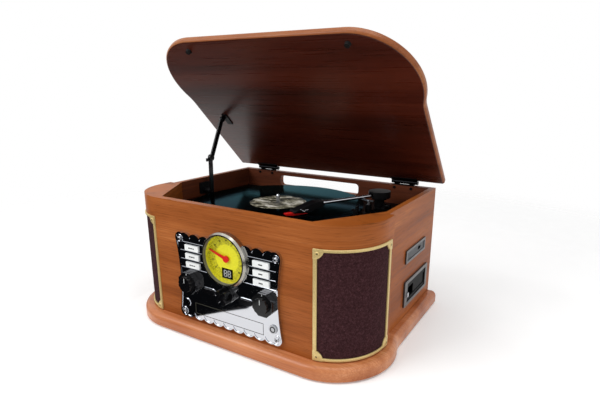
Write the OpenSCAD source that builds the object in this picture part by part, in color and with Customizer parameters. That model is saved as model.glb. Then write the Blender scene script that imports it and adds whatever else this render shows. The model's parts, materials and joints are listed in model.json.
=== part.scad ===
// Table-top record player in a wooden cabinet, millimetres, +Z up.
// Front panel faces -Y, the lid stands open and the record lies on the platter.
// Shapes are drawn with y = 0 on the front panel and z = 0 on top of the plinth,
// then carried to the shared frame by seat().

/* [Cabinet] */
// Width over the side panels
cabinet_width = 423; // [415:1:440]
// Depth from the front panel to the back panel
cabinet_depth = 316; // [312:1:324]
// Height of the walls above the plinth
cabinet_height = 197; // [190:1:205]
// Radius of the rounded speaker corners
corner_radius = 80; // [76:1:84]
// Thickness of the front panel
front_thick = 11; // [9:0.5:12]
// Thickness of the side panels
side_thick = 9; // [8:0.5:10]
// Thickness of the back panel
back_thick = 12; // [10:0.5:13]
// Thickness of the plinth board
plinth_thick = 20; // [16:1:24]
// Height of the rubber feet under the plinth
foot_height = 3; // [2:0.5:5]

/* [Lid] */
// Thickness of the lid board
lid_thick = 12; // [10:0.5:14]
// Angle of the open lid above the closed one
lid_open = 44.6; // [40:0.1:50]
// Overhang of the lid past the rounded corners
lid_overhang = 14; // [12.5:0.5:16]
// Radius of the hinge pins
hinge_pin_r = 1.5; // [1.2:0.1:1.8]
// Radial play of every running pin and shaft
running_play = 0.05; // [0.03:0.01:0.08]

/* [Turntable] */
// Radius of the long-playing record
record_r = 150.8; // [149:0.1:151]
// Thickness of the record
record_thick = 2; // [1.6:0.1:2.4]
// Radius of the paper label
label_r = 50; // [48:1:52]
// Radius of the platter
platter_r = 106; // [100:1:110]
// Thickness of the rubber mat
mat_thick = 1.2; // [1:0.1:1.6]
// Radius of the centre spindle
spindle_r = 3.5; // [3.3:0.05:3.6]
// Depth of the deck plate's upper face below the top of the walls
deck_drop = 35.5; // [34:0.5:37]

/* [Tonearm] */
// Length of the arm from its pivot to the needle
arm_reach = 188; // [184:1:190]
// Radius of the arm tube
tube_r = 3; // [2.5:0.1:3.5]
// Radius of the round cap over the arm's pivot
cap_r = 19.5; // [17:0.5:21]
// Furthest swing of the arm outward to its rest, degrees
arm_out = 28.5; // [28:0.5:29]
// Furthest swing of the arm inward over the record, degrees
arm_in = 14.5; // [10:0.5:15]

/* [Front controls] */
// Half width of the fascia plate at its corner lobes
fascia_half = 100; // [98:0.5:104]
// Height of the fascia's lower edge
fascia_low = 7; // [5:0.5:10]
// Height of the fascia's upper edge
fascia_top = 150; // [148:0.5:153]
// Thickness of the fascia plate
fascia_thick = 4; // [3:0.5:5]
// Outer radius of the dial bezel
dial_r = 42; // [40:0.5:43]
// Height of the dial's centre
dial_z = 121.5; // [120:0.5:123]
// Radius of the control knobs
knob_r = 16; // [14:0.5:17]
// How far the knobs stand out of the fascia
knob_out = 15; // [12:0.5:18]
// Width of the six white push buttons
button_wide = 28; // [24:0.5:30]

/* [Side controls] */
// Width of the cassette bezel
cassette_wide = 112; // [106:1:116]
// Height of the cassette bezel
cassette_tall = 45; // [41:1:47]
// Width of the card and stick panel
card_wide = 93; // [86:1:97]

/* [Hidden] */
$fn = 96;

// plan of the walls
side_x = cabinet_width / 2;
corner_set = 71.5;
corner_x = side_x - corner_set;
corner_y = corner_radius;
rim_z = cabinet_height;
arc_side = corner_x + corner_radius;
seam_x = corner_x + 8;
step_y = 101;
corner_wall = 12;
inner_side = side_x - side_thick;
inner_back = cabinet_depth - back_thick;
diagonal_front = [corner_x + 0.5, front_thick];
diagonal_side = [inner_side + 0.5, step_y + front_thick];
sill_z = foot_height + plinth_thick;

// plinth and lid outlines
plinth_r = corner_radius + 16;
plinth_side = side_x + 15.5;
plinth_back = cabinet_depth + 1;
lid_r = corner_radius + lid_overhang;
lid_side = side_x + lid_overhang + 1.5;
hinge_y = cabinet_depth - 1;
lid_back = hinge_y - 5.6;
sweep_r = 60;

// hinge and lid placing
hinge_z = rim_z + 4.7;
lid_under = rim_z + 5.5;
hinge_x = side_x - 57.5;
hinge_half = 25;
knuckle_r = 3.6;
leaf_thick = 1.6;

// turntable stack
deck_level = rim_z - deck_drop;
record_c = [-24, hinge_y - 150];
record_top = deck_level + 10;
mat_low = record_top - record_thick - mat_thick;
platter_thick = 3;
belt_r = 71;
motor_reach = belt_r + 24;
motor_c = record_c + motor_reach * [cos(35), sin(35)];
pulley_r = 6;
belt_thick = 0.8;

// tonearm places
arm_c = record_c + [153, 93];
arm_rest_turn = 243.5;
tube_z = record_top + 14.2;
rest_reach = arm_reach - 80.5;
cue_at = arm_c + [17, -5];

// front controls
fascia_mid = (fascia_low + fascia_top) / 2;
knob_x = 73;
knob_z = 70;
centre_knob_z = 65;
pill_x = 36;
pill_z = 62;
button_x = 66;
button_tall = 9;
button_pitch = 14;
button_top_z = 127;
button_out = 2;
screw_x = 91.5;
screw_top_z = 139;
screw_low_z = 16.5;
jack_x = 85;
jack_z = 32;
jack_r = 7;
knob_shaft_r = 3;
tray_half = 66.5;
tray_low = 18;
tray_top = 35;
face_y = 0;
gap = 0.35;

// shared frame: the middle of the whole extent in y lands on 0
front_most = -fascia_thick - knob_out;
lid_corner = [lid_back - hinge_y, lid_under + lid_thick - hinge_z];
back_most = hinge_y + lid_corner[0] * cos(lid_open) + lid_corner[1] * sin(lid_open);
mid_y = (front_most + back_most) / 2;

wood = [0.62, 0.33, 0.16];
dark = [0.08, 0.08, 0.09];
steel = [0.75, 0.76, 0.78];
brass = [0.82, 0.74, 0.5];

// Carries a shape from the cabinet's own frame to the shared one.
module seat() {
    translate([0, -mid_y, sill_z])
        children();
}

// Carries a shape drawn on the closed lid to the open lid.
module on_lid() {
    translate([0, hinge_y, hinge_z])
        rotate([-lid_open, 0, 0])
            translate([0, -hinge_y, -hinge_z])
                children();
}

// Both hands of a shape drawn on the right.
module pair() {
    children();
    mirror([1, 0, 0])
        children();
}

// Straight rods along X and along Y.
module rod_x(x0, x1, y, z, r) {
    translate([x0, y, z])
        rotate([0, 90, 0])
            cylinder(r = r, h = x1 - x0);
}

module rod_y(x, y0, y1, z, r) {
    translate([x, y1, z])
        rotate([90, 0, 0])
            cylinder(r = r, h = y1 - y0);
}

module block(x0, x1, y0, y1, z0, z1) {
    translate([x0, y0, z0])
        cube([x1 - x0, y1 - y0, z1 - z0]);
}

// Upright plate in the front plane, drawn as x and z, from y0 back to y1.
module upright(y0, y1) {
    translate([0, y1, 0])
        rotate([90, 0, 0])
            linear_extrude(y1 - y0)
                children();
}

// Plate in a side plane, drawn as y and z, from x0 out to x1.
module sideways(x0, x1) {
    translate([x0, 0, 0])
        rotate([90, 0, 90])
            linear_extrude(x1 - x0)
                children();
}

// Rectangle with rounded corners about its middle.
module soft_rect(w, h, r) {
    square([w - 2 * r, h], center = true);
    if (h > 2 * r)
        square([w, h - 2 * r], center = true);
    for (sx = [-1, 1], sy = [-1, 1])
        translate([sx * (w / 2 - r), sy * (h / 2 - r)])
            circle(r);
}

// Outline of the cabinet walls seen from above.
module wall_plan(shrink = 0) {
    translate([-corner_x, shrink])
        square([2 * corner_x, cabinet_depth - shrink]);
    for (s = [-1, 1])
        translate([s * corner_x, corner_y])
            circle(corner_radius - shrink);
    translate([shrink - arc_side, corner_y])
        square([2 * (arc_side - shrink), step_y - corner_y]);
    translate([shrink - side_x, corner_y])
        square([2 * (side_x - shrink), cabinet_depth - corner_y]);
}

// Centre of the hollow sweep that joins a bulged corner to the straight side.
function sweep_y(r, side) =
    corner_y + sqrt(pow(r + sweep_r, 2) - pow(side + sweep_r - corner_x, 2));
function sweep_turn(r, side) =
    atan2(sweep_y(r, side) - corner_y, side + sweep_r - corner_x);

// Outline of the plinth or the lid, cut in by an inset.
module bulged_plan(r, side, back, inset) {
    yf = sweep_y(r, side);
    translate([-corner_x, corner_y - r + inset])
        square([2 * corner_x, back - corner_y + r - inset]);
    translate([inset - side, yf])
        square([2 * (side - inset), back - yf]);
    for (s = [-1, 1]) {
        translate([s * corner_x, corner_y])
            circle(r - inset);
        difference() {
            polygon([[s * corner_x, corner_y], [s * (side + sweep_r), yf], [s * corner_x, yf]]);
            translate([s * (side + sweep_r), yf])
                circle(sweep_r + inset);
        }
    }
}

// Carries an edge profile, drawn as distance out and height, round the bulged outline.
module bulged_edge(r, side, back) {
    yf = sweep_y(r, side);
    turn = sweep_turn(r, side);
    translate([corner_x, corner_y - r, 0])
        rotate([90, 0, -90])
            linear_extrude(2 * corner_x)
                children();
    pair() {
        translate([side, back, 0])
            rotate([90, 0, 0])
                linear_extrude(back - yf)
                    children();
        translate([corner_x, corner_y, 0])
            rotate([0, 0, -90])
                rotate_extrude(angle = 90 + turn)
                    translate([r, 0])
                        children();
        translate([side + sweep_r, yf, 0])
            rotate([0, 0, 180])
                rotate_extrude(angle = turn)
                    translate([sweep_r, 0])
                        mirror([1, 0])
                            children();
    }
}

// Wooden cabinet

plinth_land = 12;
plinth_nose = 9;

// Edge of the plinth: straight below, a round nose on top.
module plinth_profile() {
    translate([-plinth_land, 0])
        square([plinth_land, plinth_thick - plinth_nose]);
    translate([-plinth_land, 0])
        square([plinth_land - plinth_nose, plinth_thick]);
    translate([-plinth_nose, plinth_thick - plinth_nose])
        circle(plinth_nose);
}

foot_spots = [[corner_x + 10, 50], [side_x - 46.5, cabinet_depth - 30]];
foot_r = 12;
foot_sunk = 2;

module base_plinth() {
    color(wood)
        seat()
            translate([0, 0, -plinth_thick])
                difference() {
                    union() {
                        linear_extrude(plinth_thick)
                            bulged_plan(plinth_r, plinth_side, plinth_back, plinth_land - 1);
                        bulged_edge(plinth_r, plinth_side, plinth_back)
                            plinth_profile();
                    }
                    for (spot = foot_spots)
                        pair()
                            translate([spot[0], spot[1], -1])
                                cylinder(r = foot_r + 0.2, h = 1 + foot_sunk);
                }
}

module rubber_feet() {
    color(dark)
        seat()
            for (spot = foot_spots)
                pair()
                    translate([spot[0], spot[1], -sill_z])
                        cylinder(r1 = foot_r - 1, r2 = foot_r, h = foot_height + foot_sunk);
}

cutout_half = 84;
cutout_low = 12;
cutout_top = 146;
dial_hole_r = dial_r - 4;

module front_panel() {
    color(wood)
        seat()
            difference() {
                linear_extrude(rim_z)
                    intersection() {
                        wall_plan();
                        translate([-seam_x, 0])
                            square([2 * seam_x, front_thick]);
                    }
                block(-cutout_half, cutout_half, -1, front_thick + 1, cutout_low, cutout_top);
                rod_y(0, -1, front_thick + 1, dial_z, dial_hole_r);
                pair()
                    rod_y(jack_x, -1, front_thick + 1, jack_z, jack_r + 0.5);
            }
}

// Speaker corner: a curved wall, a cap over it and a slanting board down to the deck.
driver_turn = -40;
driver_r = 38;
driver_seat = 54;
cap_thick = 12;
board_thick = 6;
frame_low = 2;
frame_top = rim_z - 32;
driver_z = (frame_low + frame_top) / 2;
cloth_deep = 1.2;
frame_y = 91;

module corner_plan() {
    slope = (diagonal_side[1] - diagonal_front[1]) / (diagonal_side[0] - diagonal_front[0]);
    meet_y = diagonal_front[1] + slope * (inner_side - diagonal_front[0]);
    intersection() {
        wall_plan();
        polygon([diagonal_front, [seam_x, front_thick], [seam_x, -1], [arc_side + 1, -1],
            [arc_side + 1, step_y], [inner_side, step_y], [inner_side, meet_y]]);
    }
}

// Band round a speaker corner seen from above, carried on straight along the side to last_y.
module arc_band(inner, outer, turn_from, last_y) {
    far = 2 * corner_radius;
    difference() {
        union() {
            translate([corner_x, corner_y])
                circle(outer);
            translate([corner_x, corner_y])
                square([outer, last_y - corner_y]);
        }
        translate([corner_x, corner_y])
            circle(inner);
        translate([corner_x - 1, corner_y])
            square([inner + 1, last_y - corner_y + 1]);
        translate([corner_x, corner_y])
            polygon([[0, 0], [far * cos(turn_from), far * sin(turn_from)], [-far, -far],
                [-far, far], [0, far]]);
        translate([corner_x, last_y])
            square([far, far]);
    }
}

seam_turn = -acos(8 / corner_radius);

module corner_panels() {
    inner_r = corner_radius - corner_wall;
    color(wood)
        seat()
            pair()
                difference() {
                    union() {
                        linear_extrude(rim_z)
                            difference() {
                                corner_plan();
                                translate([corner_x, corner_y])
                                    circle(inner_r);
                                translate([corner_x - corner_radius, corner_y])
                                    square([corner_radius + inner_r, corner_radius]);
                            }
                        translate([0, 0, rim_z - cap_thick])
                            linear_extrude(cap_thick)
                                corner_plan();
                        translate([0, 0, deck_level - 12])
                            linear_extrude(rim_z - deck_level + 12)
                                intersection() {
                                    corner_plan();
                                    slant_board();
                                }
                        translate([corner_x, corner_y, driver_z])
                            rotate([0, 90, driver_turn])
                                translate([-45, -45, driver_seat])
                                    cube([90, 90, board_thick]);
                    }
                    translate([0, 0, frame_low + 3])
                        linear_extrude(frame_top - frame_low - 6)
                            arc_band(corner_radius - cloth_deep, corner_radius + 1,
                                seam_turn + 2.4, frame_y - 3);
                    translate([corner_x, corner_y, driver_z])
                        rotate([0, 90, driver_turn])
                            translate([0, 0, driver_seat - 1])
                                cylinder(r = driver_r - 3, h = corner_radius);
                }
}

module slant_board() {
    run = diagonal_side - diagonal_front;
    turn = atan2(run[1], run[0]);
    translate(diagonal_front)
        rotate(turn)
            translate([-board_thick, -board_thick])
                square([norm(run) + 2 * board_thick, board_thick]);
}

// Side controls sit in the right side panel only.
flat_mid_y = (step_y + cabinet_depth) / 2;
card_mid_y = flat_mid_y + 15;
card_mid_z = rim_z - 89;
card_tall = 22;
cassette_mid_y = flat_mid_y + 25;
cassette_mid_z = 42.8;
cassette_open_wide = cassette_wide - 29;
cassette_open_tall = 20;
cassette_open_y = cassette_mid_y + 4;
cassette_open_z = cassette_mid_z - 1.5;

module side_panel() {
    block(inner_side, side_x, step_y, cabinet_depth, 0, rim_z);
}

module left_side_panel() {
    color(wood)
        seat()
            mirror([1, 0, 0])
                side_panel();
}

module right_side_panel() {
    margin = 4;
    color(wood)
        seat()
            difference() {
                side_panel();
                sideways(inner_side - 1, side_x + 1)
                    translate([card_mid_y, card_mid_z])
                        square([card_wide - 2 * margin, card_tall - 2 * margin], center = true);
                sideways(inner_side - 1, side_x + 1)
                    translate([cassette_mid_y, cassette_mid_z])
                        square([cassette_wide - 2 * margin, cassette_tall - 2 * margin],
                            center = true);
            }
}

slot_low = record_top - 2.7;
slot_top = slot_low + 20.8;
slot_room = 33;
slot_shift = 2.4;
slot_corner = 7;
slot_half = sqrt(pow(record_r, 2) - pow(inner_back - record_c[1], 2)) + slot_room;
socket_z = 52;
inlet_x = side_x - 61.5;
line_x = inlet_x - 54;
vent_x = 101.5 - side_x;

module back_panel() {
    vent_wide = 3;
    vent_tall = 44;
    vent_pitch = 9;
    color(wood)
        seat()
            difference() {
                block(-inner_side, inner_side, inner_back, cabinet_depth, 0, rim_z);
                upright(inner_back - 1, cabinet_depth + 1)
                    translate([record_c[0] - slot_shift, (slot_low + slot_top) / 2])
                        soft_rect(2 * slot_half, slot_top - slot_low, slot_corner);
                for (i = [-5:5])
                    upright(inner_back - 1, cabinet_depth + 1)
                        translate([vent_x + i * vent_pitch, 80])
                            soft_rect(vent_wide, vent_tall, 1.4);
                upright(inner_back - 1, cabinet_depth + 1)
                    translate([inlet_x, socket_z])
                        soft_rect(29, 21, 2);
                upright(inner_back - 1, cabinet_depth + 1)
                    translate([line_x, socket_z])
                        soft_rect(44, 24, 2);
            }
}

frame_proud = 2;
frame_strip = 8.5;
gusset_r = 16;
frame_turn = seam_turn + 0.4;

// Frame of flat strips with a quarter-round gusset in each corner.
module speaker_frames() {
    color(brass)
        seat()
            pair()
                union() {
                    difference() {
                        frame_band();
                        translate([0, 0, frame_low + frame_strip])
                            linear_extrude(frame_top - frame_low - 2 * frame_strip)
                                arc_band(corner_radius - 1, corner_radius + frame_proud + 1,
                                    frame_turn + 6, frame_y - frame_strip);
                    }
                    for (z = [frame_low, frame_top])
                        intersection() {
                            frame_band();
                            union() {
                                translate([corner_x, corner_y, z])
                                    rotate([0, 90, frame_turn])
                                        translate([0, 0, corner_radius - 6])
                                            cylinder(r = gusset_r, h = 12);
                                rod_x(arc_side - 6, arc_side + 6, frame_y, z, gusset_r);
                            }
                        }
                }
}

module frame_band() {
    translate([0, 0, frame_low])
        linear_extrude(frame_top - frame_low)
            arc_band(corner_radius, corner_radius + frame_proud, frame_turn, frame_y);
}

module speaker_cloths() {
    thick = 0.8;
    color([0.22, 0.1, 0.1])
        seat()
            pair()
                translate([0, 0, frame_low + 3.5])
                    linear_extrude(frame_top - frame_low - 7)
                        arc_band(corner_radius - cloth_deep + 0.1, corner_radius - cloth_deep + thick,
                            seam_turn + 2.8, frame_y - 3.5);
}

module speaker_drivers() {
    color(dark)
        seat()
            pair()
                translate([corner_x, corner_y, driver_z])
                    rotate([0, 90, driver_turn])
                        rotate_extrude()
                            driver_outline();
}

// Half section of a small loudspeaker: rim, cone, basket and magnet.
module driver_outline() {
    rim_h = driver_seat;
    rim_r = driver_r + 2.5;
    magnet_low = 22;
    magnet_r = 22;
    cone_low = 38;
    polygon([[0, magnet_low], [magnet_r, magnet_low], [magnet_r, cone_low - 4],
        [rim_r - 4, rim_h - 3], [rim_r, rim_h - 3], [rim_r, rim_h], [rim_r - 6, rim_h],
        [10, cone_low], [0, cone_low + 4]]);
}

// Deck, platter and record

deck_thick = 3;
dish_r = platter_r + 4;
dish_floor = deck_level - 8;
bush_r = 6;
disc_low = mat_low - platter_thick;
bush_top = disc_low - 2.6;
shaft_low = deck_level - 24;

module well_plan() {
    slope = (diagonal_side[1] - diagonal_front[1]) / (diagonal_side[0] - diagonal_front[0]);
    meet_y = diagonal_front[1] + slope * (inner_side - diagonal_front[0]);
    polygon([[-diagonal_front[0], front_thick], [diagonal_front[0], front_thick],
        [inner_side, meet_y], [inner_side, inner_back], [-inner_side, inner_back],
        [-inner_side, meet_y]]);
}

module deck_plate() {
    color(dark)
        seat()
            difference() {
                union() {
                    translate([0, 0, deck_level - deck_thick])
                        linear_extrude(deck_thick)
                            well_plan();
                    translate([record_c[0], record_c[1], dish_floor - deck_thick])
                        cylinder(r = dish_r + deck_thick, h = deck_level - dish_floor);
                }
                translate([record_c[0], record_c[1], dish_floor])
                    cylinder(r = dish_r, h = deck_level);
                translate([record_c[0], record_c[1], dish_floor - deck_thick - 1])
                    cylinder(r = bush_r, h = deck_thick + 2);
                translate([motor_c[0], motor_c[1], dish_floor - deck_thick - 1])
                    cylinder(r = 4, h = deck_thick + 2);
            }
}

module spindle_bush() {
    color(brass)
        seat()
            translate([record_c[0], record_c[1], 0])
                difference() {
                    union() {
                        translate([0, 0, shaft_low + 3])
                            cylinder(r = bush_r, h = bush_top - shaft_low - 3);
                        translate([0, 0, dish_floor])
                            cylinder(r = 13, h = 2);
                    }
                    translate([0, 0, shaft_low - 1])
                        cylinder(r = spindle_r + running_play, h = 40);
                }
}

module spindle() {
    dome = 2.5;
    top = record_top + 14;
    color(steel)
        seat()
            translate([record_c[0], record_c[1], 0])
                union() {
                    translate([0, 0, shaft_low])
                        cylinder(r = spindle_r, h = top - dome - shaft_low);
                    translate([0, 0, top - dome])
                        cylinder(r1 = spindle_r, r2 = spindle_r - 1.6, h = dome);
                }
}

module platter() {
    rim = 3;
    hub_r = 12;
    color(dark)
        seat()
            translate([record_c[0], record_c[1], 0])
                difference() {
                    union() {
                        translate([0, 0, disc_low])
                            cylinder(r = platter_r, h = platter_thick);
                        translate([0, 0, deck_level + 1])
                            cylinder(r = platter_r, h = disc_low - deck_level);
                    }
                    translate([0, 0, deck_level])
                        cylinder(r = platter_r - rim, h = disc_low - deck_level);
                    translate([0, 0, deck_level])
                        cylinder(r = spindle_r, h = 20);
                }
    color(dark)
        seat()
            translate([record_c[0], record_c[1], 0]) {
                difference() {
                    translate([0, 0, dish_floor + 3])
                        cylinder(r = belt_r, h = disc_low - dish_floor - 3);
                    translate([0, 0, dish_floor])
                        cylinder(r = belt_r - rim, h = disc_low - dish_floor + 1);
                }
                difference() {
                    translate([0, 0, bush_top + gap])
                        cylinder(r = hub_r, h = disc_low - bush_top - gap);
                    translate([0, 0, bush_top])
                        cylinder(r = spindle_r, h = disc_low - bush_top + 1);
                }
            }
}

module platter_mat() {
    color([0.13, 0.13, 0.14])
        seat()
            translate([record_c[0], record_c[1], mat_low])
                difference() {
                    cylinder(r = platter_r - 2, h = mat_thick);
                    translate([0, 0, -1])
                        cylinder(r = spindle_r + 0.1, h = mat_thick + 2);
                }
}

module record() {
    land = 0.25;
    color([0.05, 0.05, 0.06])
        seat()
            translate([record_c[0], record_c[1], 0])
                difference() {
                    translate([0, 0, record_top - record_thick])
                        cylinder(r = record_r, h = record_thick);
                    translate([0, 0, record_top - record_thick - 1])
                        cylinder(r = spindle_r + 0.1, h = record_thick + 2);
                    translate([0, 0, record_top - land])
                        difference() {
                            cylinder(r = label_r + 3.2, h = 1);
                            translate([0, 0, -1])
                                cylinder(r = label_r, h = 3);
                        }
                }
}

motor_shaft_r = 1;

module motor() {
    color(steel)
        seat()
            translate([motor_c[0], motor_c[1], dish_floor - deck_thick - 26])
                difference() {
                    cylinder(r = 17, h = 26);
                    translate([0, 0, 6])
                        cylinder(r = motor_shaft_r + running_play, h = 21);
                }
}

module motor_pulley() {
    color(brass)
        seat()
            translate([motor_c[0], motor_c[1], 0])
                union() {
                    translate([0, 0, dish_floor - 18])
                        cylinder(r = motor_shaft_r, h = 20);
                    translate([0, 0, dish_floor + 1])
                        cylinder(r = pulley_r, h = 8);
                }
}

// Flat belt: an arc on each wheel and two straight runs between them.
module drive_belt() {
    way = motor_c - record_c;
    reach = norm(way);
    open = acos((belt_r - pulley_r) / reach);
    run = reach * sin(open);
    wide = 4;
    thin = 0.1;
    over = 0.8;
    color(dark)
        seat()
            translate([record_c[0], record_c[1], dish_floor + 3.5])
                rotate(atan2(way[1], way[0]))
                    union() {
                        rotate(open)
                            rotate_extrude(angle = 360 - 2 * open)
                                translate([belt_r + 0.3, 0])
                                    square([belt_thick, wide]);
                        translate([reach, 0])
                            rotate(-open)
                                rotate_extrude(angle = 2 * open)
                                    translate([pulley_r + 0.3, 0])
                                        square([belt_thick, wide]);
                        for (s = [0, 1])
                            mirror([0, s])
                                rotate(open)
                                    translate([belt_r + 0.3 + thin, -run - over, 0])
                                        cube([belt_thick - 2 * thin, run + 2 * over, wide]);
                    }
}

// Tonearm, drawn along +X from its pivot

module arm_frame(swing = 0) {
    translate([arm_c[0], arm_c[1], 0])
        rotate(arm_rest_turn + swing)
            children();
}

shaft_r = 4;
collar_long = 5.5;
collar_at = arm_reach - 70;
head_from = collar_at + collar_long;
trunnion_r = 1.2;
column_top = deck_level + 16.5;
cap_top = tube_z + 6.6;
lift_r = 35;
lift_post_r = 2.5;
lift_post_turn = 262;
lift_top = tube_z - tube_r - gap;
lever_axis_z = deck_level + 6;

module arm_pedestal() {
    base_r = 17;
    column_r = 9;
    boss_r = 5.5;
    cheek = 3;
    post_at = lift_r * [cos(lift_post_turn), sin(lift_post_turn)];
    color(dark)
        seat()
            translate([arm_c[0], arm_c[1], deck_level])
                difference() {
                    union() {
                        cylinder(r = base_r, h = 2.5);
                        cylinder(r = column_r, h = column_top - deck_level - gap);
                        translate([post_at[0], post_at[1], 0])
                            cylinder(r = boss_r, h = 13);
                        translate([0, -1, 0])
                            rotate(lift_post_turn)
                                translate([0, -4, 0])
                                    cube([lift_r, 8, 2.5]);
                        translate([0, cue_at[1] - arm_c[1] - 4, 0])
                            cube([cue_at[0] - arm_c[0] + 6.1, 8, 2.5]);
                        for (s = [-1, 1])
                            translate([cue_at[0] - arm_c[0] + s * 4.6 - cheek / 2,
                                cue_at[1] - arm_c[1] - 4, 0])
                                cube([cheek, 8, 10]);
                    }
                    translate([0, 0, 3])
                        cylinder(r = shaft_r + running_play, h = 20);
                    translate([post_at[0], post_at[1], 1])
                        cylinder(r = lift_post_r + running_play, h = 20);
                    translate([cue_at[0] - arm_c[0] - 10, cue_at[1] - arm_c[1], 6])
                        rotate([0, 90, 0])
                            cylinder(r = trunnion_r + running_play, h = 20);
                }
}

module arm_turret() {
    cheek_in = 6;
    cheek_out = 10;
    color(dark)
        seat()
            arm_frame()
                difference() {
                    union() {
                        translate([0, 0, deck_level + 4])
                            cylinder(r = shaft_r, h = column_top - deck_level);
                        translate([0, 0, column_top])
                            cylinder(r = 14, h = 2.5);
                        for (s = [-1, 1])
                            translate([-7, s > 0 ? cheek_in : -cheek_out, column_top + 2])
                                cube([14, cheek_out - cheek_in, cap_top - column_top - 4]);
                        translate([0, 0, tube_z + tube_r + 1.6])
                            cylinder(r = cap_r, h = cap_top - tube_z - tube_r - 1.6);
                        difference() {
                            translate([0, 0, column_top + 3])
                                cylinder(r = cap_r, h = cap_top - column_top - 4);
                            translate([0, 0, column_top])
                                cylinder(r = cap_r - 2, h = 20);
                            translate([0, -tube_r - 2, column_top])
                                cube([cap_r + 1, 2 * tube_r + 4, tube_z + tube_r + 1.6 - column_top]);
                        }
                    }
                    translate([0, 15, tube_z])
                        rotate([90, 0, 0])
                            cylinder(r = trunnion_r + running_play, h = 30);
                }
}

module arm_tube() {
    block_half = 5.6;
    color(steel)
        seat()
            arm_frame()
                union() {
                    translate([0, 0, tube_z])
                        rotate([0, 90, 0])
                            cylinder(r = tube_r, h = head_from);
                    translate([collar_at, 0, tube_z])
                        rotate([0, 90, 0])
                            cylinder(r = tube_r + 1.5, h = collar_long);
                    translate([-6, -block_half, tube_z - 3.4])
                        cube([12, 2 * block_half, 6.8]);
                    translate([0, 9.6, tube_z])
                        rotate([90, 0, 0])
                            cylinder(r = trunnion_r, h = 19.2);
                }
}

module arm_headshell() {
    half = 9;
    lift_at = arm_reach - 27;
    color(dark)
        seat()
            arm_frame()
                union() {
                    translate([0, half, 0])
                        rotate([90, 0, 0])
                            linear_extrude(2 * half)
                                polygon([[head_from, tube_z + 5], [arm_reach - 50, tube_z + 5],
                                    [arm_reach - 13, tube_z - 4.5], [arm_reach - 10, tube_z - 6.5],
                                    [arm_reach - 10, record_top + 5.6],
                                    [arm_reach - 38, record_top + 3.5],
                                    [arm_reach - 48, tube_z - 7], [head_from, tube_z - 5]]);
                    translate([lift_at, half - 1, tube_z - 5])
                        cube([6, 14, 1.4]);
                    translate([lift_at, half + 11.6, tube_z - 5])
                        cube([6, 1.4, 4]);
                }
}

module stylus() {
    half = 4.5;
    tip_x = arm_reach - 1;
    color([0.75, 0.08, 0.1])
        seat()
            arm_frame()
                union() {
                    translate([0, half, 0])
                        rotate([90, 0, 0])
                            linear_extrude(2 * half)
                                polygon([[arm_reach - 36, record_top + 3.65],
                                    [arm_reach - 10, record_top + 5.6],
                                    [arm_reach + 2, record_top + 5.6],
                                    [arm_reach + 2, record_top + 3.2],
                                    [arm_reach - 10, record_top + 1.4],
                                    [arm_reach - 36, record_top + 1.4]]);
                    translate([tip_x, 0, record_top + 0.3])
                        cylinder(r1 = 0.2, r2 = 0.9, h = 3.5);
                }
}

module arm_rest() {
    post_r = 3.6;
    saddle_z = tube_z - tube_r - gap;
    color(dark)
        seat()
            union() {
                translate([arm_c[0], arm_c[1], 0])
                    rotate(arm_rest_turn + arm_out)
                        translate([rest_reach, 0, 0]) {
                            translate([-4, -4, saddle_z - 3])
                                cube([8, 9, 3]);
                            translate([-4, tube_r + gap, saddle_z - 3])
                                cube([8, 3, 9]);
                            translate([0, 2, deck_level])
                                cylinder(r = post_r, h = saddle_z - deck_level - 1);
                        }
            }
}

module cue_lever() {
    color(dark)
        seat()
            translate([cue_at[0], cue_at[1], lever_axis_z])
                union() {
                    rotate([0, 90, 0])
                        translate([0, 0, -6.4])
                            cylinder(r = trunnion_r, h = 12.8);
                    rotate([0, 90, 0])
                        translate([0, 0, -2.7])
                            cylinder(r = 3.2, h = 5.4);
                    translate([-2, -16, -1.2])
                        cube([4, 16, 2.4]);
                    translate([-3, -19, -1.6])
                        cube([6, 8, 3.4]);
                }
}

module arm_lift() {
    post_at = lift_r * [cos(lift_post_turn), sin(lift_post_turn)];
    spread = 27;
    color(steel)
        seat()
            translate([arm_c[0], arm_c[1], 0])
                union() {
                    translate([post_at[0], post_at[1], deck_level + 3])
                        cylinder(r = lift_post_r, h = lift_top - deck_level - 4);
                    translate([0, 0, lift_top - 2.2])
                        rotate(250 - spread)
                            rotate_extrude(angle = 2 * spread)
                                translate([lift_r - 1.6, 0])
                                    square([3.2, 2.2]);
                }
}

// Lid, hinges and stay

module lid_profile() {
    land = 6;
    soft = 4;
    translate([-land, 0])
        square([land - soft, lid_thick]);
    translate([-land, soft])
        square([land, lid_thick - 2 * soft]);
    for (z = [soft, lid_thick - soft])
        translate([-soft, z])
            circle(soft);
}

module lid() {
    land = 6;
    color(wood)
        seat()
            on_lid()
                translate([0, 0, lid_under])
                    union() {
                        linear_extrude(lid_thick)
                            bulged_plan(lid_r, lid_side, lid_back, land - 1);
                        bulged_edge(lid_r, lid_side, lid_back)
                            lid_profile();
                    }
}

pad_tall = 5;
pad_x = corner_x + 4;
pad_y = 4.5;

module lid_pads() {
    color(dark)
        seat()
            on_lid()
                pair()
                    translate([pad_x, pad_y, lid_under - pad_tall])
                        cylinder(r1 = 3.8, r2 = 4.6, h = pad_tall);
}

leaf_reach = 6;

// One leaf knuckle pair list is given as offsets along the hinge.
module knuckles(spans, hole_r) {
    for (span = spans)
        difference() {
            rod_x(hinge_x + span[0], hinge_x + span[1], hinge_y, hinge_z, knuckle_r);
            rod_x(hinge_x + span[0] - 1, hinge_x + span[1] + 1, hinge_y, hinge_z, hole_r);
        }
}

body_half = 19;
lid_spans = [[-hinge_half, -body_half - 0.4], [-8.6, 8.6], [body_half + 0.4, hinge_half]];
body_spans = [[-body_half, -9], [9, body_half]];

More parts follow.
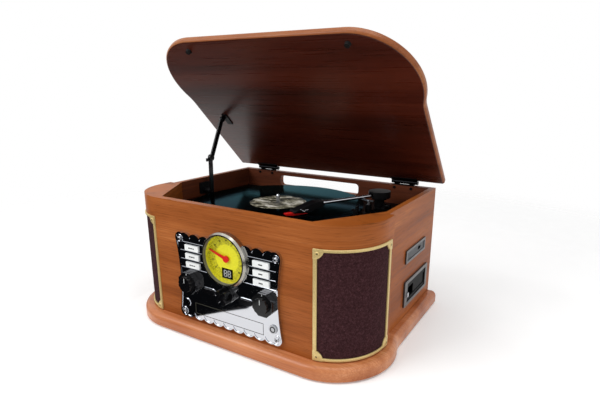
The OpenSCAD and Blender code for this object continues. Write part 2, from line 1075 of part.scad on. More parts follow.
module hinge_lid_leaves() {
    near = hinge_y - knuckle_r - 0.6;
    color(steel)
        seat()
            on_lid()
                pair()
                    union() {
                        block(hinge_x - hinge_half, hinge_x + hinge_half, lid_back - leaf_reach,
                            near, lid_under - leaf_thick, lid_under);
                        for (span = lid_spans)
                            block(hinge_x + span[0], hinge_x + span[1], near - 1,
                                hinge_y - hinge_pin_r - 1, lid_under - leaf_thick, lid_under);
                        knuckles(lid_spans, hinge_pin_r + running_play);
                    }
}

module hinge_body_leaves() {
    near = hinge_y - knuckle_r - 0.6;
    top = hinge_z - knuckle_r + 0.4;
    color(steel)
        seat()
            pair()
                union() {
                    block(hinge_x - body_half, hinge_x + body_half, inner_back, near, rim_z, top);
                    for (span = body_spans)
                        block(hinge_x + span[0], hinge_x + span[1], near - 1, hinge_y, rim_z, top);
                    for (span = body_spans)
                        rod_x(hinge_x + span[0], hinge_x + span[1], hinge_y, hinge_z, knuckle_r);
                    rod_x(hinge_x - hinge_half, hinge_x + hinge_half, hinge_y, hinge_z, hinge_pin_r);
                }
}

// Stay on the left: two links between a bracket on the wall and one on the lid.
stay_base_at = [hinge_y - 147.6, rim_z - 24.6];
stay_lid_at = [hinge_y - 154.3, rim_z + 0.3];
stay_low_long = 64.8;
stay_high_long = 77.2;
stay_pin_r = 2;
link_half = 4.5;
link_thick = 2.7;
low_x = [18.5 - inner_side, 18.5 - inner_side + link_thick];
high_x = [low_x[1] + 0.3, low_x[1] + 0.3 + link_thick];

function opened(q) = [
    hinge_y + (q[0] - hinge_y) * cos(lid_open) + (q[1] - hinge_z) * sin(lid_open),
    hinge_z - (q[0] - hinge_y) * sin(lid_open) + (q[1] - hinge_z) * cos(lid_open)];
function elbow(a, b, la, lb) =
    let (d = norm(b - a), u = (b - a) / d, s = (la * la - lb * lb + d * d) / (2 * d))
        a + s * u + sqrt(la * la - s * s) * [-u[1], u[0]];

stay_top_at = opened(stay_lid_at);
stay_elbow_at = elbow(stay_base_at, stay_top_at, stay_low_long, stay_high_long);

// Flat bar with round ends between two points of a side plane.
module bar_plan(a, b, half) {
    way = b - a;
    translate(a)
        rotate(atan2(way[1], way[0])) {
            translate([0, -half])
                square([norm(way), 2 * half]);
            circle(half);
            translate([norm(way), 0])
                circle(half);
        }
}

module stay_base() {
    wall = -inner_side;
    boss_r = 5.5;
    color(dark)
        seat()
            union() {
                sideways(wall, wall + 2)
                    translate([stay_base_at[0], stay_base_at[1] + 5])
                        soft_rect(26, 22, 3);
                rod_x(wall + 1, low_x[0] - gap, stay_base_at[0], stay_base_at[1], boss_r);
                rod_x(wall + 1, low_x[1] + 0.1, stay_base_at[0], stay_base_at[1], stay_pin_r);
            }
}

module stay_lower_link() {
    tab = 11;
    color(dark)
        seat()
            difference() {
                sideways(low_x[0], low_x[1]) {
                    bar_plan(stay_base_at, stay_elbow_at, link_half);
                    translate(stay_elbow_at)
                        circle(link_half + 1.5);
                    translate(stay_elbow_at - [tab, 6.5])
                        square([tab, 6]);
                }
                rod_x(low_x[0] - 1, low_x[1] + 1, stay_base_at[0], stay_base_at[1],
                    stay_pin_r + running_play);
            }
}

module stay_upper_link() {
    color(dark)
        seat()
            difference() {
                sideways(high_x[0], high_x[1]) {
                    bar_plan(stay_top_at, stay_elbow_at, link_half);
                    translate(stay_elbow_at)
                        circle(link_half + 1.5);
                }
                rod_x(high_x[0] - 1, high_x[1] + 1, stay_top_at[0], stay_top_at[1],
                    stay_pin_r + running_play);
            }
}

module stay_lid_bracket() {
    cheek = high_x[1] + gap;
    foot_long = 26;
    foot_wide = 12;
    color(dark)
        seat()
            on_lid()
                union() {
                    block(cheek, cheek + foot_wide, stay_lid_at[0] - 8, stay_lid_at[0] + foot_long - 8,
                        lid_under - 1.8, lid_under);
                    block(cheek, cheek + 2, stay_lid_at[0] - 5, stay_lid_at[0] + 5,
                        stay_lid_at[1], lid_under - 1);
                    rod_x(cheek, cheek + 2, stay_lid_at[0], stay_lid_at[1],
                        lid_under - stay_lid_at[1] - 0.1);
                    rod_x(high_x[0] - 0.1, cheek + 1, stay_lid_at[0], stay_lid_at[1], stay_pin_r);
                }
}

// Front controls

// Outline of the fascia, cut in by an inset: lobed corners, hollow sides, scalloped long edges.
module fascia_plan(inset = 0) {
    lobe_r = 10;
    waist = 6;
    tall = fascia_top - fascia_low;
    lobe_x = fascia_half - lobe_r;
    lobe_z = tall / 2 - lobe_r;
    sweep = (lobe_z * lobe_z + waist * waist) / (2 * waist);
    scallops = 9;
    pitch = 2 * lobe_x / scallops;
    scallop_r = pitch * 0.62;
    scallop_z = tall / 2 - scallop_r;
    translate([0, fascia_mid]) {
        difference() {
            square([2 * (fascia_half - inset), 2 * lobe_z], center = true);
            for (s = [-1, 1])
                translate([s * (fascia_half - waist + sweep), 0])
                    circle(sweep + inset, $fn = 360);
        }
        square([2 * lobe_x, 2 * lobe_z], center = true);
        for (sx = [-1, 1], sz = [-1, 1])
            translate([sx * lobe_x, sz * lobe_z])
                circle(lobe_r - inset);
        for (i = [0:scallops - 1], sz = [-1, 1])
            translate([-lobe_x + (i + 0.5) * pitch, sz * scallop_z])
                circle(scallop_r - inset);
    }
}

pill_wide = 24;
pill_tall = 8;
edge_proud = 0.8;

module fascia_plate() {
    play = 0.4;
    rim_wide = 1.8;
    rib_low = 92;
    rib_half = 1.2;
    rib_x = [20, fascia_half - 9];
    ring_out = 6.4;
    front = -fascia_thick;
    color(steel)
        seat()
            difference() {
                union() {
                    upright(front, 0)
                        fascia_plan();
                    upright(front - edge_proud, front)
                        difference() {
                            fascia_plan();
                            fascia_plan(rim_wide);
                        }
                    pair()
                        upright(front - edge_proud, front)
                            translate([pill_x, pill_z])
                                soft_rect(pill_wide + 4, pill_tall + 4, pill_tall / 2 + 2);
                    for (z = [screw_low_z, screw_top_z])
                        pair()
                            rod_y(screw_x, front - edge_proud, front, z, ring_out);
                    for (i = [0:3])
                        pair()
                            block(rib_x[0], rib_x[1], front - 1, -1,
                                rib_low + i * button_pitch - rib_half,
                                rib_low + i * button_pitch + rib_half);
                }
                rod_y(0, -10, 1, dial_z, dial_r + gap);
                for (i = [0:2])
                    pair()
                        upright(-10, 1)
                            translate([button_x, button_top_z - i * button_pitch])
                                square([button_wide + 2 * play, button_tall + 2 * play],
                                    center = true);
                for (z = [screw_low_z, screw_top_z])
                    pair()
                        rod_y(screw_x, front - 2, front, z, ring_out - 1.6);
                pair()
                    upright(-10, 1)
                        translate([pill_x, pill_z])
                            soft_rect(pill_wide + 2 * play, pill_tall + 2 * play, pill_tall / 2 + play);
                pair()
                    rod_y(knob_x, -10, 1, knob_z, knob_shaft_r + 1);
                rod_y(0, -10, 1, centre_knob_z, knob_shaft_r + 1);
                pair()
                    rod_y(jack_x, -10, 1, jack_z, jack_r);
                upright(-10, 1)
                    translate([0, (tray_low + tray_top) / 2])
                        square([2 * (tray_half + play), tray_top - tray_low + 2 * play],
                            center = true);
            }
}

module screws() {
    head_r = 3.4;
    color(steel)
        seat()
            pair() {
                for (z = [screw_low_z, screw_top_z])
                    rod_y(screw_x, -fascia_thick - 1.2, -fascia_thick, z, head_r);
                for (s = [-1, 1])
                    rod_y(hinge_x + s * 16, inner_back - 1.2, inner_back, rim_z - 4.6, 2.6);
            }
}

module dial_bezel() {
    front = -11;
    color(brass)
        seat()
            translate([0, 0, dial_z])
                rotate([90, 0, 0])
                    rotate_extrude()
                        polygon([[dial_r - 6.5, 0], [dial_r, 0], [dial_r, -front - 3],
                            [dial_r - 2.5, -front], [dial_r - 4.6, -front]]);
}

window_half = 10.3;
window_low = 90;
window_top = 106;

module dial_face() {
    thick = 2;
    color([0.93, 0.9, 0.12])
        seat()
            difference() {
                union() {
                    rod_y(0, face_y, face_y + thick, dial_z, dial_hole_r - 0.1);
                    block(-window_half, window_half, face_y - 0.6, face_y + 1, window_low, window_top);
                }
                rod_y(0, face_y - 1, face_y + thick + 1, dial_z, 1.5 + running_play);
            }
}

module dial_needle() {
    long = 33;
    turn = 162;
    color([0.85, 0.1, 0.05])
        seat()
            union() {
                rod_y(0, face_y - 3.4, face_y - 1.2, dial_z, 5.2);
                rod_y(0, face_y - 2, face_y + 6, dial_z, 1.5);
                upright(face_y - 2.8, face_y - 1.6)
                    translate([0, dial_z])
                        rotate(turn)
                            polygon([[0, -2.6], [long, -1], [long, 1], [0, 2.6]]);
            }
}

// Eight-sided control knob with a round fluted grip, drawn along -Y from the fascia.
module control_knob(x) {
    low = fascia_thick + gap;
    top = fascia_thick + knob_out;
    body_r = knob_r + 3;
    body_long = knob_out * 0.6;
    grip_r = knob_r - 3.5;
    flutes = 12;
    translate([x, 0, knob_z])
        rotate([90, 0, 0])
            union() {
                translate([0, 0, low])
                    linear_extrude(body_long)
                        polygon([for (i = [0:7])
                            body_r * [cos(45 * i + 22.5), sin(45 * i + 22.5)]]);
                translate([0, 0, low + body_long])
                    cylinder(r = grip_r + 1.6, h = 0.8);
                translate([0, 0, low + body_long])
                    linear_extrude(top - low - body_long)
                        difference() {
                            circle(grip_r);
                            for (i = [0:flutes - 1])
                                rotate(i * 360 / flutes)
                                    translate([grip_r + 1.2, 0])
                                        circle(2, $fn = 32);
                        }
                translate([0, 0, -6])
                    cylinder(r = knob_shaft_r, h = low + 8);
            }
}

module volume_knob() {
    color(dark)
        seat()
            control_knob(-knob_x);
}

module tuning_knob() {
    color(dark)
        seat()
            control_knob(knob_x);
}

// Round foot with a crossed grip.
module function_knob() {
    low = fascia_thick + gap;
    top = fascia_thick + knob_out;
    foot_out = knob_r - 2.6;
    bar_half = 3;
    color(dark)
        seat()
            translate([0, 0, centre_knob_z])
                rotate([90, 0, 0])
                    union() {
                        translate([0, 0, low])
                            cylinder(r = foot_out, h = 3);
                        translate([0, 0, low + 2])
                            linear_extrude(top - low - 2)
                                for (turn = [45, -45])
                                    rotate(turn)
                                        soft_rect(2 * foot_out - 2, 2 * bar_half, bar_half - 0.4);
                        translate([0, 0, low + 2])
                            cylinder(r = bar_half + 3, h = top - low - 4);
                        translate([0, 0, -6])
                            cylinder(r = knob_shaft_r, h = low + 8);
                    }
}

module white_button(side, row) {
    color([0.93, 0.94, 0.93])
        seat()
            upright(-fascia_thick - button_out, 2)
                translate([side * button_x, button_top_z - row * button_pitch])
                    square([button_wide, button_tall], center = true);
}

module pill_button(side) {
    color(dark)
        seat()
            upright(-fascia_thick - button_out, 2)
                translate([side * pill_x, pill_z])
                    soft_rect(pill_wide, pill_tall, pill_tall / 2);
}

module round_button() {
    color(dark)
        seat()
            rod_y(jack_x, -fascia_thick - button_out, 2, jack_z, jack_r - gap);
}

module headphone_jack() {
    color(steel)
        seat()
            difference() {
                union() {
                    rod_y(-jack_x, -fascia_thick - 1, 8, jack_z, 7);
                    rod_y(-jack_x, -fascia_thick - 1, -fascia_thick, jack_z, 7);
                }
                rod_y(-jack_x, -fascia_thick - 2, 6, jack_z, 1.8);
            }
}

tray_deep = 135;
disc_r = 60.3;

module disc_tray() {
    floor_z = tray_low + 3;
    color(steel)
        seat()
            difference() {
                union() {
                    block(-tray_half, tray_half, -fascia_thick, -1, tray_low, tray_top);
                    block(-tray_half + 1, tray_half - 1, -2, tray_deep, floor_z, floor_z + 6);
                }
                translate([0, 64, floor_z + 4])
                    cylinder(r = disc_r, h = 6);
                translate([0, 64, floor_z - 1])
                    cylinder(r = 18, h = 8);
            }
}

module disc_mechanism() {
    wall = 2;
    floor_z = tray_low + 3;
    half = tray_half - 1 + 0.4;
    color(steel)
        seat()
            difference() {
                block(-half - wall, half + wall, front_thick + 2, tray_deep + 8, 0, tray_top + 8);
                block(-half, half, front_thick, tray_deep + 4, floor_z - 0.4, tray_top + 5);
                translate([0, 64, -1])
                    cylinder(r = 17, h = floor_z);
            }
}

// Side controls

eject_y = cassette_open_y - cassette_open_wide / 2 - 8;

module card_panel() {
    proud = 2.5;
    color(steel)
        seat()
            difference() {
                sideways(side_x - 4, side_x + 1)
                    translate([card_mid_y, card_mid_z])
                        square([card_wide - 8, card_tall - 8], center = true);
                sideways(side_x - 3, side_x + proud + 1)
                    translate([card_mid_y + 16, card_mid_z])
                        square([13, 5.4], center = true);
            }
    color(steel)
        seat()
            difference() {
                sideways(side_x, side_x + proud)
                    translate([card_mid_y, card_mid_z])
                        square([card_wide, card_tall], center = true);
                sideways(side_x + proud - 0.8, side_x + proud + 1)
                    translate([card_mid_y, card_mid_z])
                        square([card_wide - 10, card_tall - 8], center = true);
                sideways(side_x - 3, side_x + proud + 1)
                    translate([card_mid_y + 16, card_mid_z])
                        square([13, 5.4], center = true);
            }
}

module cassette_bezel() {
    proud = 3;
    deep = 105;
    floor_low = 3;
    color([0.7, 0.7, 0.7])
        seat()
            difference() {
                union() {
                    sideways(side_x, side_x + proud)
                        translate([cassette_mid_y, cassette_mid_z])
                            soft_rect(cassette_wide, cassette_tall, 3);
                    sideways(side_x - deep, side_x + 1)
                        translate([cassette_mid_y, cassette_mid_z])
                            square([cassette_wide - 8, cassette_tall - 8], center = true);
                }
                sideways(side_x + proud - 1.4, side_x + proud + 1)
                    translate([cassette_open_y - 2.5, cassette_mid_z])
                        square([cassette_open_wide + 8, cassette_tall - 12], center = true);
                sideways(side_x - deep + 3, side_x + proud + 1)
                    translate([cassette_open_y, cassette_open_z])
                        square([cassette_open_wide, cassette_open_tall], center = true);
                rod_y(side_x - 0.2, cassette_open_y - cassette_open_wide / 2 - 3,
                    cassette_open_y + cassette_open_wide / 2 + 3, flap_hinge_z,
                    flap_pin_r + running_play);
                rod_hole();
            }
}

// Hole of the eject button in the frame beside the opening.
module rod_hole() {
    sideways(side_x - 12, side_x + 4)
        translate([eject_y, cassette_open_z])
            square([5.8, 8.8], center = true);
}

module cassette_button() {
    color(steel)
        seat()
            sideways(side_x - 6, side_x + 3 + 2.2)
                translate([eject_y, cassette_open_z])
                    square([5, 8], center = true);
}

flap_pin_r = 0.9;
flap_hinge_z = cassette_open_z + cassette_open_tall / 2 - 1.6;

module cassette_flap() {
    half = 26;
    mid_y = cassette_open_y + 12;
    color([0.4, 0.45, 0.5])
        seat()
            union() {
                block(side_x - 1, side_x + 0.6, mid_y - half, mid_y + half,
                    cassette_open_z - cassette_open_tall / 2 + 0.6, flap_hinge_z);
                rod_y(side_x - 0.2, cassette_open_y - cassette_open_wide / 2 - 2.5,
                    cassette_open_y + cassette_open_wide / 2 + 2.5, flap_hinge_z, flap_pin_r);
            }
}

module rear_sockets() {
    proud = 1.5;
    color(dark)
        seat()
            difference() {
                union() {
                    upright(inner_back - 6, cabinet_depth + proud)
                        translate([inlet_x, socket_z])
                            soft_rect(29, 21, 2);
                    upright(inner_back - 6, cabinet_depth + proud)
                        translate([line_x, socket_z])
                            soft_rect(44, 24, 2);
                }
                upright(cabinet_depth - 8, cabinet_depth + proud + 1)
                    translate([inlet_x, socket_z])
                        soft_rect(20, 11, 5);
                for (s = [-1, 1])
                    rod_y(line_x + s * 9, cabinet_depth - 8, cabinet_depth + proud + 1, socket_z, 1.7);
            }
}

base_plinth();
rubber_feet();
front_panel();
corner_panels();
left_side_panel();
right_side_panel();
back_panel();
speaker_frames();
speaker_cloths();
speaker_drivers();
deck_plate();
spindle_bush();
spindle();
platter();
platter_mat();
record();
motor();
motor_pulley();
drive_belt();
arm_pedestal();
arm_turret();
arm_tube();
arm_headshell();
stylus();
arm_rest();
cue_lever();
arm_lift();
lid();
lid_pads();
hinge_lid_leaves();
hinge_body_leaves();
stay_base();
stay_lower_link();
stay_upper_link();
stay_lid_bracket();
fascia_plate();
screws();
dial_bezel();
dial_face();
dial_needle();
volume_knob();
tuning_knob();
function_knob();
white_button(-1, 0);  // left_button_top
white_button(-1, 1);  // left_button_mid
white_button(-1, 2);  // left_button_low
white_button(1, 0);  // right_button_top
white_button(1, 1);  // right_button_mid
white_button(1, 2);  // right_button_low
pill_button(-1);  // left_pill_button
pill_button(1);  // right_pill_button
round_button();
headphone_jack();
disc_tray();
disc_mechanism();
card_panel();
cassette_bezel();
cassette_flap();
cassette_button();
rear_sockets();
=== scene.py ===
"""Looks of a record player with a stayed lid: materials, fine surfaces, studio and camera."""

import json
import math

import bpy
import numpy as np
from mathutils import Matrix, Vector


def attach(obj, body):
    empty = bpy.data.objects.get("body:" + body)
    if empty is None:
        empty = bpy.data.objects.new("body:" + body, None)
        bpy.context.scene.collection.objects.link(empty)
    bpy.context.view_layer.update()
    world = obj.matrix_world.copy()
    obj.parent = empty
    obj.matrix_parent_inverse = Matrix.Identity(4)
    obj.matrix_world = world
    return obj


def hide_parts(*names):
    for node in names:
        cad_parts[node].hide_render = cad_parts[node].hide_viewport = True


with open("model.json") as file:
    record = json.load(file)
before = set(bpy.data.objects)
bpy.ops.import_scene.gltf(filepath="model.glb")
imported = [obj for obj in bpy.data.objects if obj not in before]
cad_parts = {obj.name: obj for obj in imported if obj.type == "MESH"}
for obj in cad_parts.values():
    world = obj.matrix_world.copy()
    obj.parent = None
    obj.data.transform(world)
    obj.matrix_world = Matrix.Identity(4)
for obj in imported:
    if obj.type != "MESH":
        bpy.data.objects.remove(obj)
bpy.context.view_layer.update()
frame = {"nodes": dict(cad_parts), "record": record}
nodes = frame["nodes"]
scene = bpy.context.scene

# Measures shared with the solids, millimetres: y = 0 on the front panel, z = 0 on the plinth's top
MM = 0.001
SILL = 23.0                              # top of the plinth above the table
MID = 150.5                              # front panel to the middle of the whole part
LID_OPEN = math.radians(44.6)
RECORD = np.array([-24.0, 165.0])        # spindle, seen from above
RECORD_TOP = 171.5
ARM = np.array([129.0, 258.0])           # the arm's upright axis, seen from above
ARM_TURN = math.radians(243.5)           # the way that the arm points at rest
CORNER = np.array([140.0, 80.0])         # middle of the right rounded corner, seen from above
CORNER_R = 80.0
SEAM_X = 8.0                             # from there sideways to the corner's front seam
DIAL_Z = 121.5
DIAL_FACE_Y, DISPLAY_FACE_Y = 0.0, -0.6
PLATE_Y = -4.0                           # front face of the fascia plate
KNOB_X, KNOB_Z = 73.0, 70.0
KNOB_FACE_Y, KNOB_SKIRT_Y = -19.0, -13.36
BUTTON_X, BUTTON_TOP_Z, BUTTON_STEP, BUTTON_FACE_Y = 66.0, 127.0, 14.0, -6.0
ROUND_BUTTON = (85.0, -5.95, 32.0)
TRAY_HALF, TRAY_LOW, TRAY_HIGH = 66.9, 17.5, 35.5
SCREW_X, SCREW_LOW_Z, SCREW_TOP_Z = 91.5, 16.5, 139.0            # the fascia's four screws
BACK_Y, SOCKET_Z = 317.5, 52.0           # face of the socket plate, and the sockets' height
LEFT_SOCKET_X, RIGHT_SOCKET_X = 87.0, 105.0

# Printed strokes
INK = 0.08                               # thickness
PROUD = 0.04                             # how far a stroke's middle stands off its surface
LOW_PROUD = 0.03                         # the same on the white buttons and round the tray


def rgb(code):
    """Linear colour of an sRGB hex code, by the standard transfer curve."""
    parts = np.array([int(code[i:i + 2], 16) for i in (1, 3, 5)]) / 255
    linear = np.where(parts <= 0.04045, parts / 12.92, ((parts + 0.055) / 1.055) ** 2.4)
    return (*map(float, linear), 1.0)


def place(points):
    """Points in cabinet millimetres as metres in the shared frame: y less MID, z plus SILL."""
    return (np.asarray(points, float) + (0, -MID, SILL)) * MM


# Materials. A picture point covers about 1.3 mm of the player, so finer patterns are drawn coarser

# Sockets of a Mix node that mixes colours: share, first and second colour, and result
SHARE, FIRST, SECOND, MIXED = 0, 6, 7, 2


def add(tree, kind, ins=None, out=0, stops=(), **settings):
    """Adds a node with its settings, its colour stops and its inputs, where a socket is linked and
    anything else is set, and gives the output asked for, or nothing where the node has none."""
    node = tree.nodes.new("ShaderNode" + kind)
    for key, value in settings.items():
        setattr(node, key, value)
    for _ in stops[2:]:
        node.color_ramp.elements.new(0.5)
    for k, (spot, code) in enumerate(stops):
        node.color_ramp.elements[k].position = spot
        node.color_ramp.elements[k].color = rgb(code)
    for key, value in (ins or {}).items():
        if isinstance(value, bpy.types.NodeSocket):
            tree.links.new(value, node.inputs[key])
        else:
            node.inputs[key].default_value = value
    return node.outputs[out] if node.outputs else None


def new_material(name):
    """An empty material, its tree, and its object coordinates in millimetres."""
    material = bpy.data.materials.new(name)
    material.use_nodes = True
    tree = material.node_tree
    tree.nodes.clear()
    metres = add(tree, "TexCoord", out="Object")
    spot = add(tree, "VectorMath", {0: metres, 1: (1 / MM,) * 3}, operation="MULTIPLY")
    return material, tree, spot


def finished(material, tree, finish):
    """Closes a material with a shader that takes finish, its values and sockets."""
    add(tree, "OutputMaterial", {0: add(tree, "BsdfPrincipled", finish)})
    return material


def distance_from(tree, spot, centre, ways):
    """Distance of a spot from centre, millimetres, counted only along the ways that are 1."""
    away = add(tree, "VectorMath", {0: spot, 1: centre}, operation="SUBTRACT")
    away = add(tree, "VectorMath", {0: away, 1: ways}, operation="MULTIPLY")
    return add(tree, "VectorMath", {0: away}, out="Value", operation="LENGTH")


def veneer(name, stops, grain, gloss=0.42, turn=(0, 0, 0), coat=0.05, shine=0.2, pores=0.62):
    """Lacquered cherry veneer. Figure 45 mm wide, clouds of 80 mm, fibres and short pores all run
    along the grain, where the stretch is small. Real fibres and pores are 0.1 to 0.3 mm wide, and
    are drawn at 2 and 1.1 mm to show. The figure picks the colour, which the clouds and the fibres
    vary and the pores darken. The pores also dip the lacquer slightly."""
    material, tree, spot = new_material(name)
    grain = np.array(grain, float)
    cloud_grain = np.maximum(grain, 0.5)
    fibre_grain = np.where(grain < 1, grain * 0.25, 1.0)
    pore_grain = np.where(grain < 1, grain * 0.9, 1.0)
    layers = []
    for wide, stretch, detail, rough in ((45.0, grain, 5.0, 0.6),
                                         (80.0, cloud_grain, 2.0, 0.5),
                                         (2.0, fibre_grain, 3.0, 0.6),
                                         (1.1, pore_grain, 2.0, 0.5)):
        drawn = add(tree, "Mapping", {"Vector": spot, "Rotation": turn, "Scale": tuple(stretch)})
        layers.append(add(tree, "TexNoise", {"Vector": drawn, "Scale": 1 / wide,
                                             "Detail": detail, "Roughness": rough}))
    figure, clouds, fibre, pore = layers
    mixed = add(tree, "Math", {0: clouds, 1: 0.35, 2: figure}, operation="MULTIPLY_ADD")
    mixed = add(tree, "Math", {0: fibre, 1: 0.35, 2: mixed}, operation="MULTIPLY_ADD")
    mixed = add(tree, "MapRange", {"Value": mixed, "From Min": 0.62, "From Max": 1.08})
    colour = add(tree, "ValToRGB", {0: mixed}, stops=stops)
    dark = add(tree, "MapRange", {"Value": pore, "From Min": 0.55, "From Max": 0.72,
                                  "To Min": 1.0, "To Max": pores})
    rise = add(tree, "Math", {0: pore, 1: -0.6, 2: fibre}, operation="MULTIPLY_ADD")
    return finished(material, tree, {
        "Base Color": add(tree, "Mix", {SHARE: 1.0, FIRST: colour, SECOND: dark}, out=MIXED,
                          data_type="RGBA", blend_type="MULTIPLY"),
        "Roughness": add(tree, "MapRange", {"Value": fibre, "From Min": 0.3, "From Max": 0.7,
                                            "To Min": gloss - 0.05, "To Max": gloss + 0.08}),
        "Coat Weight": coat, "Coat Roughness": 0.25, "Specular IOR Level": shine,
        "Normal": add(tree, "Bump", {"Height": rise, "Strength": 0.22, "Distance": 0.06 * MM})})


def moulded(name, code, rough, depth=0.12, coat=0.0, shine=0.5):
    """Moulded plastic or rubber, or smooth paint or ink. The fine texture of its surface, 0.05 to
    0.2 mm on the real thing, is drawn at 1.1 mm to show, and its tone drifts a little over 20 mm."""
    material, tree, spot = new_material(name)
    skin = add(tree, "TexNoise", {"Vector": spot, "Scale": 1 / 1.1, "Detail": 3.0,
                                  "Roughness": 0.5})
    drift = add(tree, "TexNoise", {"Vector": spot, "Scale": 1 / 20, "Detail": 2.0,
                                   "Roughness": 0.5})
    tone = add(tree, "MapRange", {"Value": drift, "From Min": 0.3, "From Max": 0.7,
                                  "To Min": 0.92, "To Max": 1.08})
    return finished(material, tree, {
        "Base Color": add(tree, "Mix", {SHARE: 1.0, FIRST: rgb(code), SECOND: tone}, out=MIXED,
                          data_type="RGBA", blend_type="MULTIPLY"),
        "Roughness": add(tree, "MapRange", {"Value": skin, "From Min": 0.25, "From Max": 0.75,
                                            "To Min": rough - 0.05, "To Max": rough + 0.06}),
        "Coat Weight": coat, "Specular IOR Level": shine,
        "Normal": add(tree, "Bump", {"Height": skin, "Strength": depth, "Distance": 0.05 * MM})})


def metal(name, code, rough, stretch=(1, 1, 1), depth=0.06):
    """Metal or metallic paint with fine wear marks, real ones 0.1 mm wide and drawn at 0.8 mm to
    show. A small stretch along one way draws them out into brushed lines."""
    material, tree, spot = new_material(name)
    drawn = add(tree, "Mapping", {"Vector": spot, "Scale": stretch})
    marks = add(tree, "TexNoise", {"Vector": drawn, "Scale": 1 / 0.8, "Detail": 4.0,
                                   "Roughness": 0.5})
    return finished(material, tree, {
        "Base Color": rgb(code), "Metallic": 1.0,
        "Roughness": add(tree, "MapRange", {"Value": marks, "From Min": 0.3, "From Max": 0.7,
                                            "To Min": rough * 0.75, "To Max": rough * 1.3}),
        "Normal": add(tree, "Bump", {"Height": marks, "Strength": depth, "Distance": 0.02 * MM})})


def gold_enamel():
    """Pale gold enamel of the speaker frames, sprayed: a warm straw colour with a soft metallic
    sheen. The orange peel of the spray is 1 to 2 mm wide, as on the real thing."""
    material, tree, spot = new_material("pale gold sprayed enamel")
    peel = add(tree, "TexNoise", {"Vector": spot, "Scale": 1 / 1.25, "Detail": 4.0,
                                  "Roughness": 0.5})
    return finished(material, tree, {
        "Base Color": add(tree, "ValToRGB", {0: peel}, stops=[(0.3, "#c8ac6c"), (0.7, "#dcc68a")]),
        "Metallic": 0.35,
        "Roughness": add(tree, "MapRange", {"Value": peel, "From Min": 0.3, "From Max": 0.7,
                                            "To Min": 0.32, "To Max": 0.42}),
        "Normal": add(tree, "Bump", {"Height": peel, "Strength": 0.08, "Distance": 0.04 * MM})})


def woven_cloth():
    """Maroon grille cloth, plain weave: dull and soft, two-tone threads with lighter specks about
    3 mm wide. Real threads are 0.4 mm apart. To show, they are drawn 0.5 mm wide and 1.5 mm long,
    upright and level."""
    material, tree, spot = new_material("maroon woven grille cloth")
    threads = []
    for stretch in ((1, 1, 0.35), (0.35, 0.35, 1)):
        drawn = add(tree, "Mapping", {"Vector": spot, "Scale": stretch})
        threads.append(add(tree, "TexNoise", {"Vector": drawn, "Scale": 1.9, "Detail": 3.0,
                                              "Roughness": 0.5}))
    top = add(tree, "Math", {0: threads[0], 1: threads[1]}, operation="MAXIMUM")
    speck = add(tree, "TexNoise", {"Vector": spot, "Scale": 0.3, "Detail": 5.0, "Roughness": 0.7})
    mixed = add(tree, "Math", {0: speck, 1: 0.9, 2: top}, operation="MULTIPLY_ADD")
    tone = add(tree, "MapRange", {"Value": mixed, "From Min": 0.8, "From Max": 1.25})
    return finished(material, tree, {
        "Base Color": add(tree, "ValToRGB", {0: tone}, stops=[
            (0.0, "#241214"), (0.5, "#3a2023"), (0.85, "#4a2d31"), (1.0, "#573b40")]),
        "Roughness": 0.9, "Specular IOR Level": 0.1,
        "Normal": add(tree, "Bump", {"Height": mixed, "Strength": 0.4, "Distance": 0.15 * MM})})


def pressed_vinyl():
    """Black record vinyl: a deep black with a dark teal sheen. Grooves are a fine wave of the
    radius, 0.62 mm apart where the real ones are 0.1 mm, and smooth rings about 11 mm apart lie
    between the tracks."""
    material, tree, spot = new_material("pressed black vinyl")
    far = distance_from(tree, spot, (RECORD[0], RECORD[1] - MID, 0), (1, 1, 0))
    turns = add(tree, "Math", {0: far, 1: 2 * math.pi / 0.62}, operation="MULTIPLY")
    wave = add(tree, "Math", {0: turns}, operation="SINE")
    ring = add(tree, "CombineXYZ", {0: far})
    tracks = add(tree, "TexNoise", {"Vector": ring, "Scale": 1 / 11, "Detail": 1.0,
                                    "Roughness": 0.5})
    loud = add(tree, "MapRange", {"Value": tracks, "From Min": 0.42, "From Max": 0.52,
                                  "To Min": 0.15, "To Max": 1.0})
    groove = add(tree, "Math", {0: wave, 1: loud}, operation="MULTIPLY")
    worn = add(tree, "TexNoise", {"Vector": ring, "Scale": 1 / 3, "Detail": 3.0,
                                  "Roughness": 0.5})
    return finished(material, tree, {
        "Base Color": rgb("#050c0e"), "Metallic": 0.85, "Specular IOR Level": 0.05,
        "Specular Tint": rgb("#85a6ad"),
        "Roughness": add(tree, "MapRange", {"Value": worn, "From Min": 0.3, "From Max": 0.7,
                                            "To Min": 0.08, "To Max": 0.14}),
        "Normal": add(tree, "Bump", {"Height": groove, "Strength": 0.07, "Distance": 0.03 * MM})})


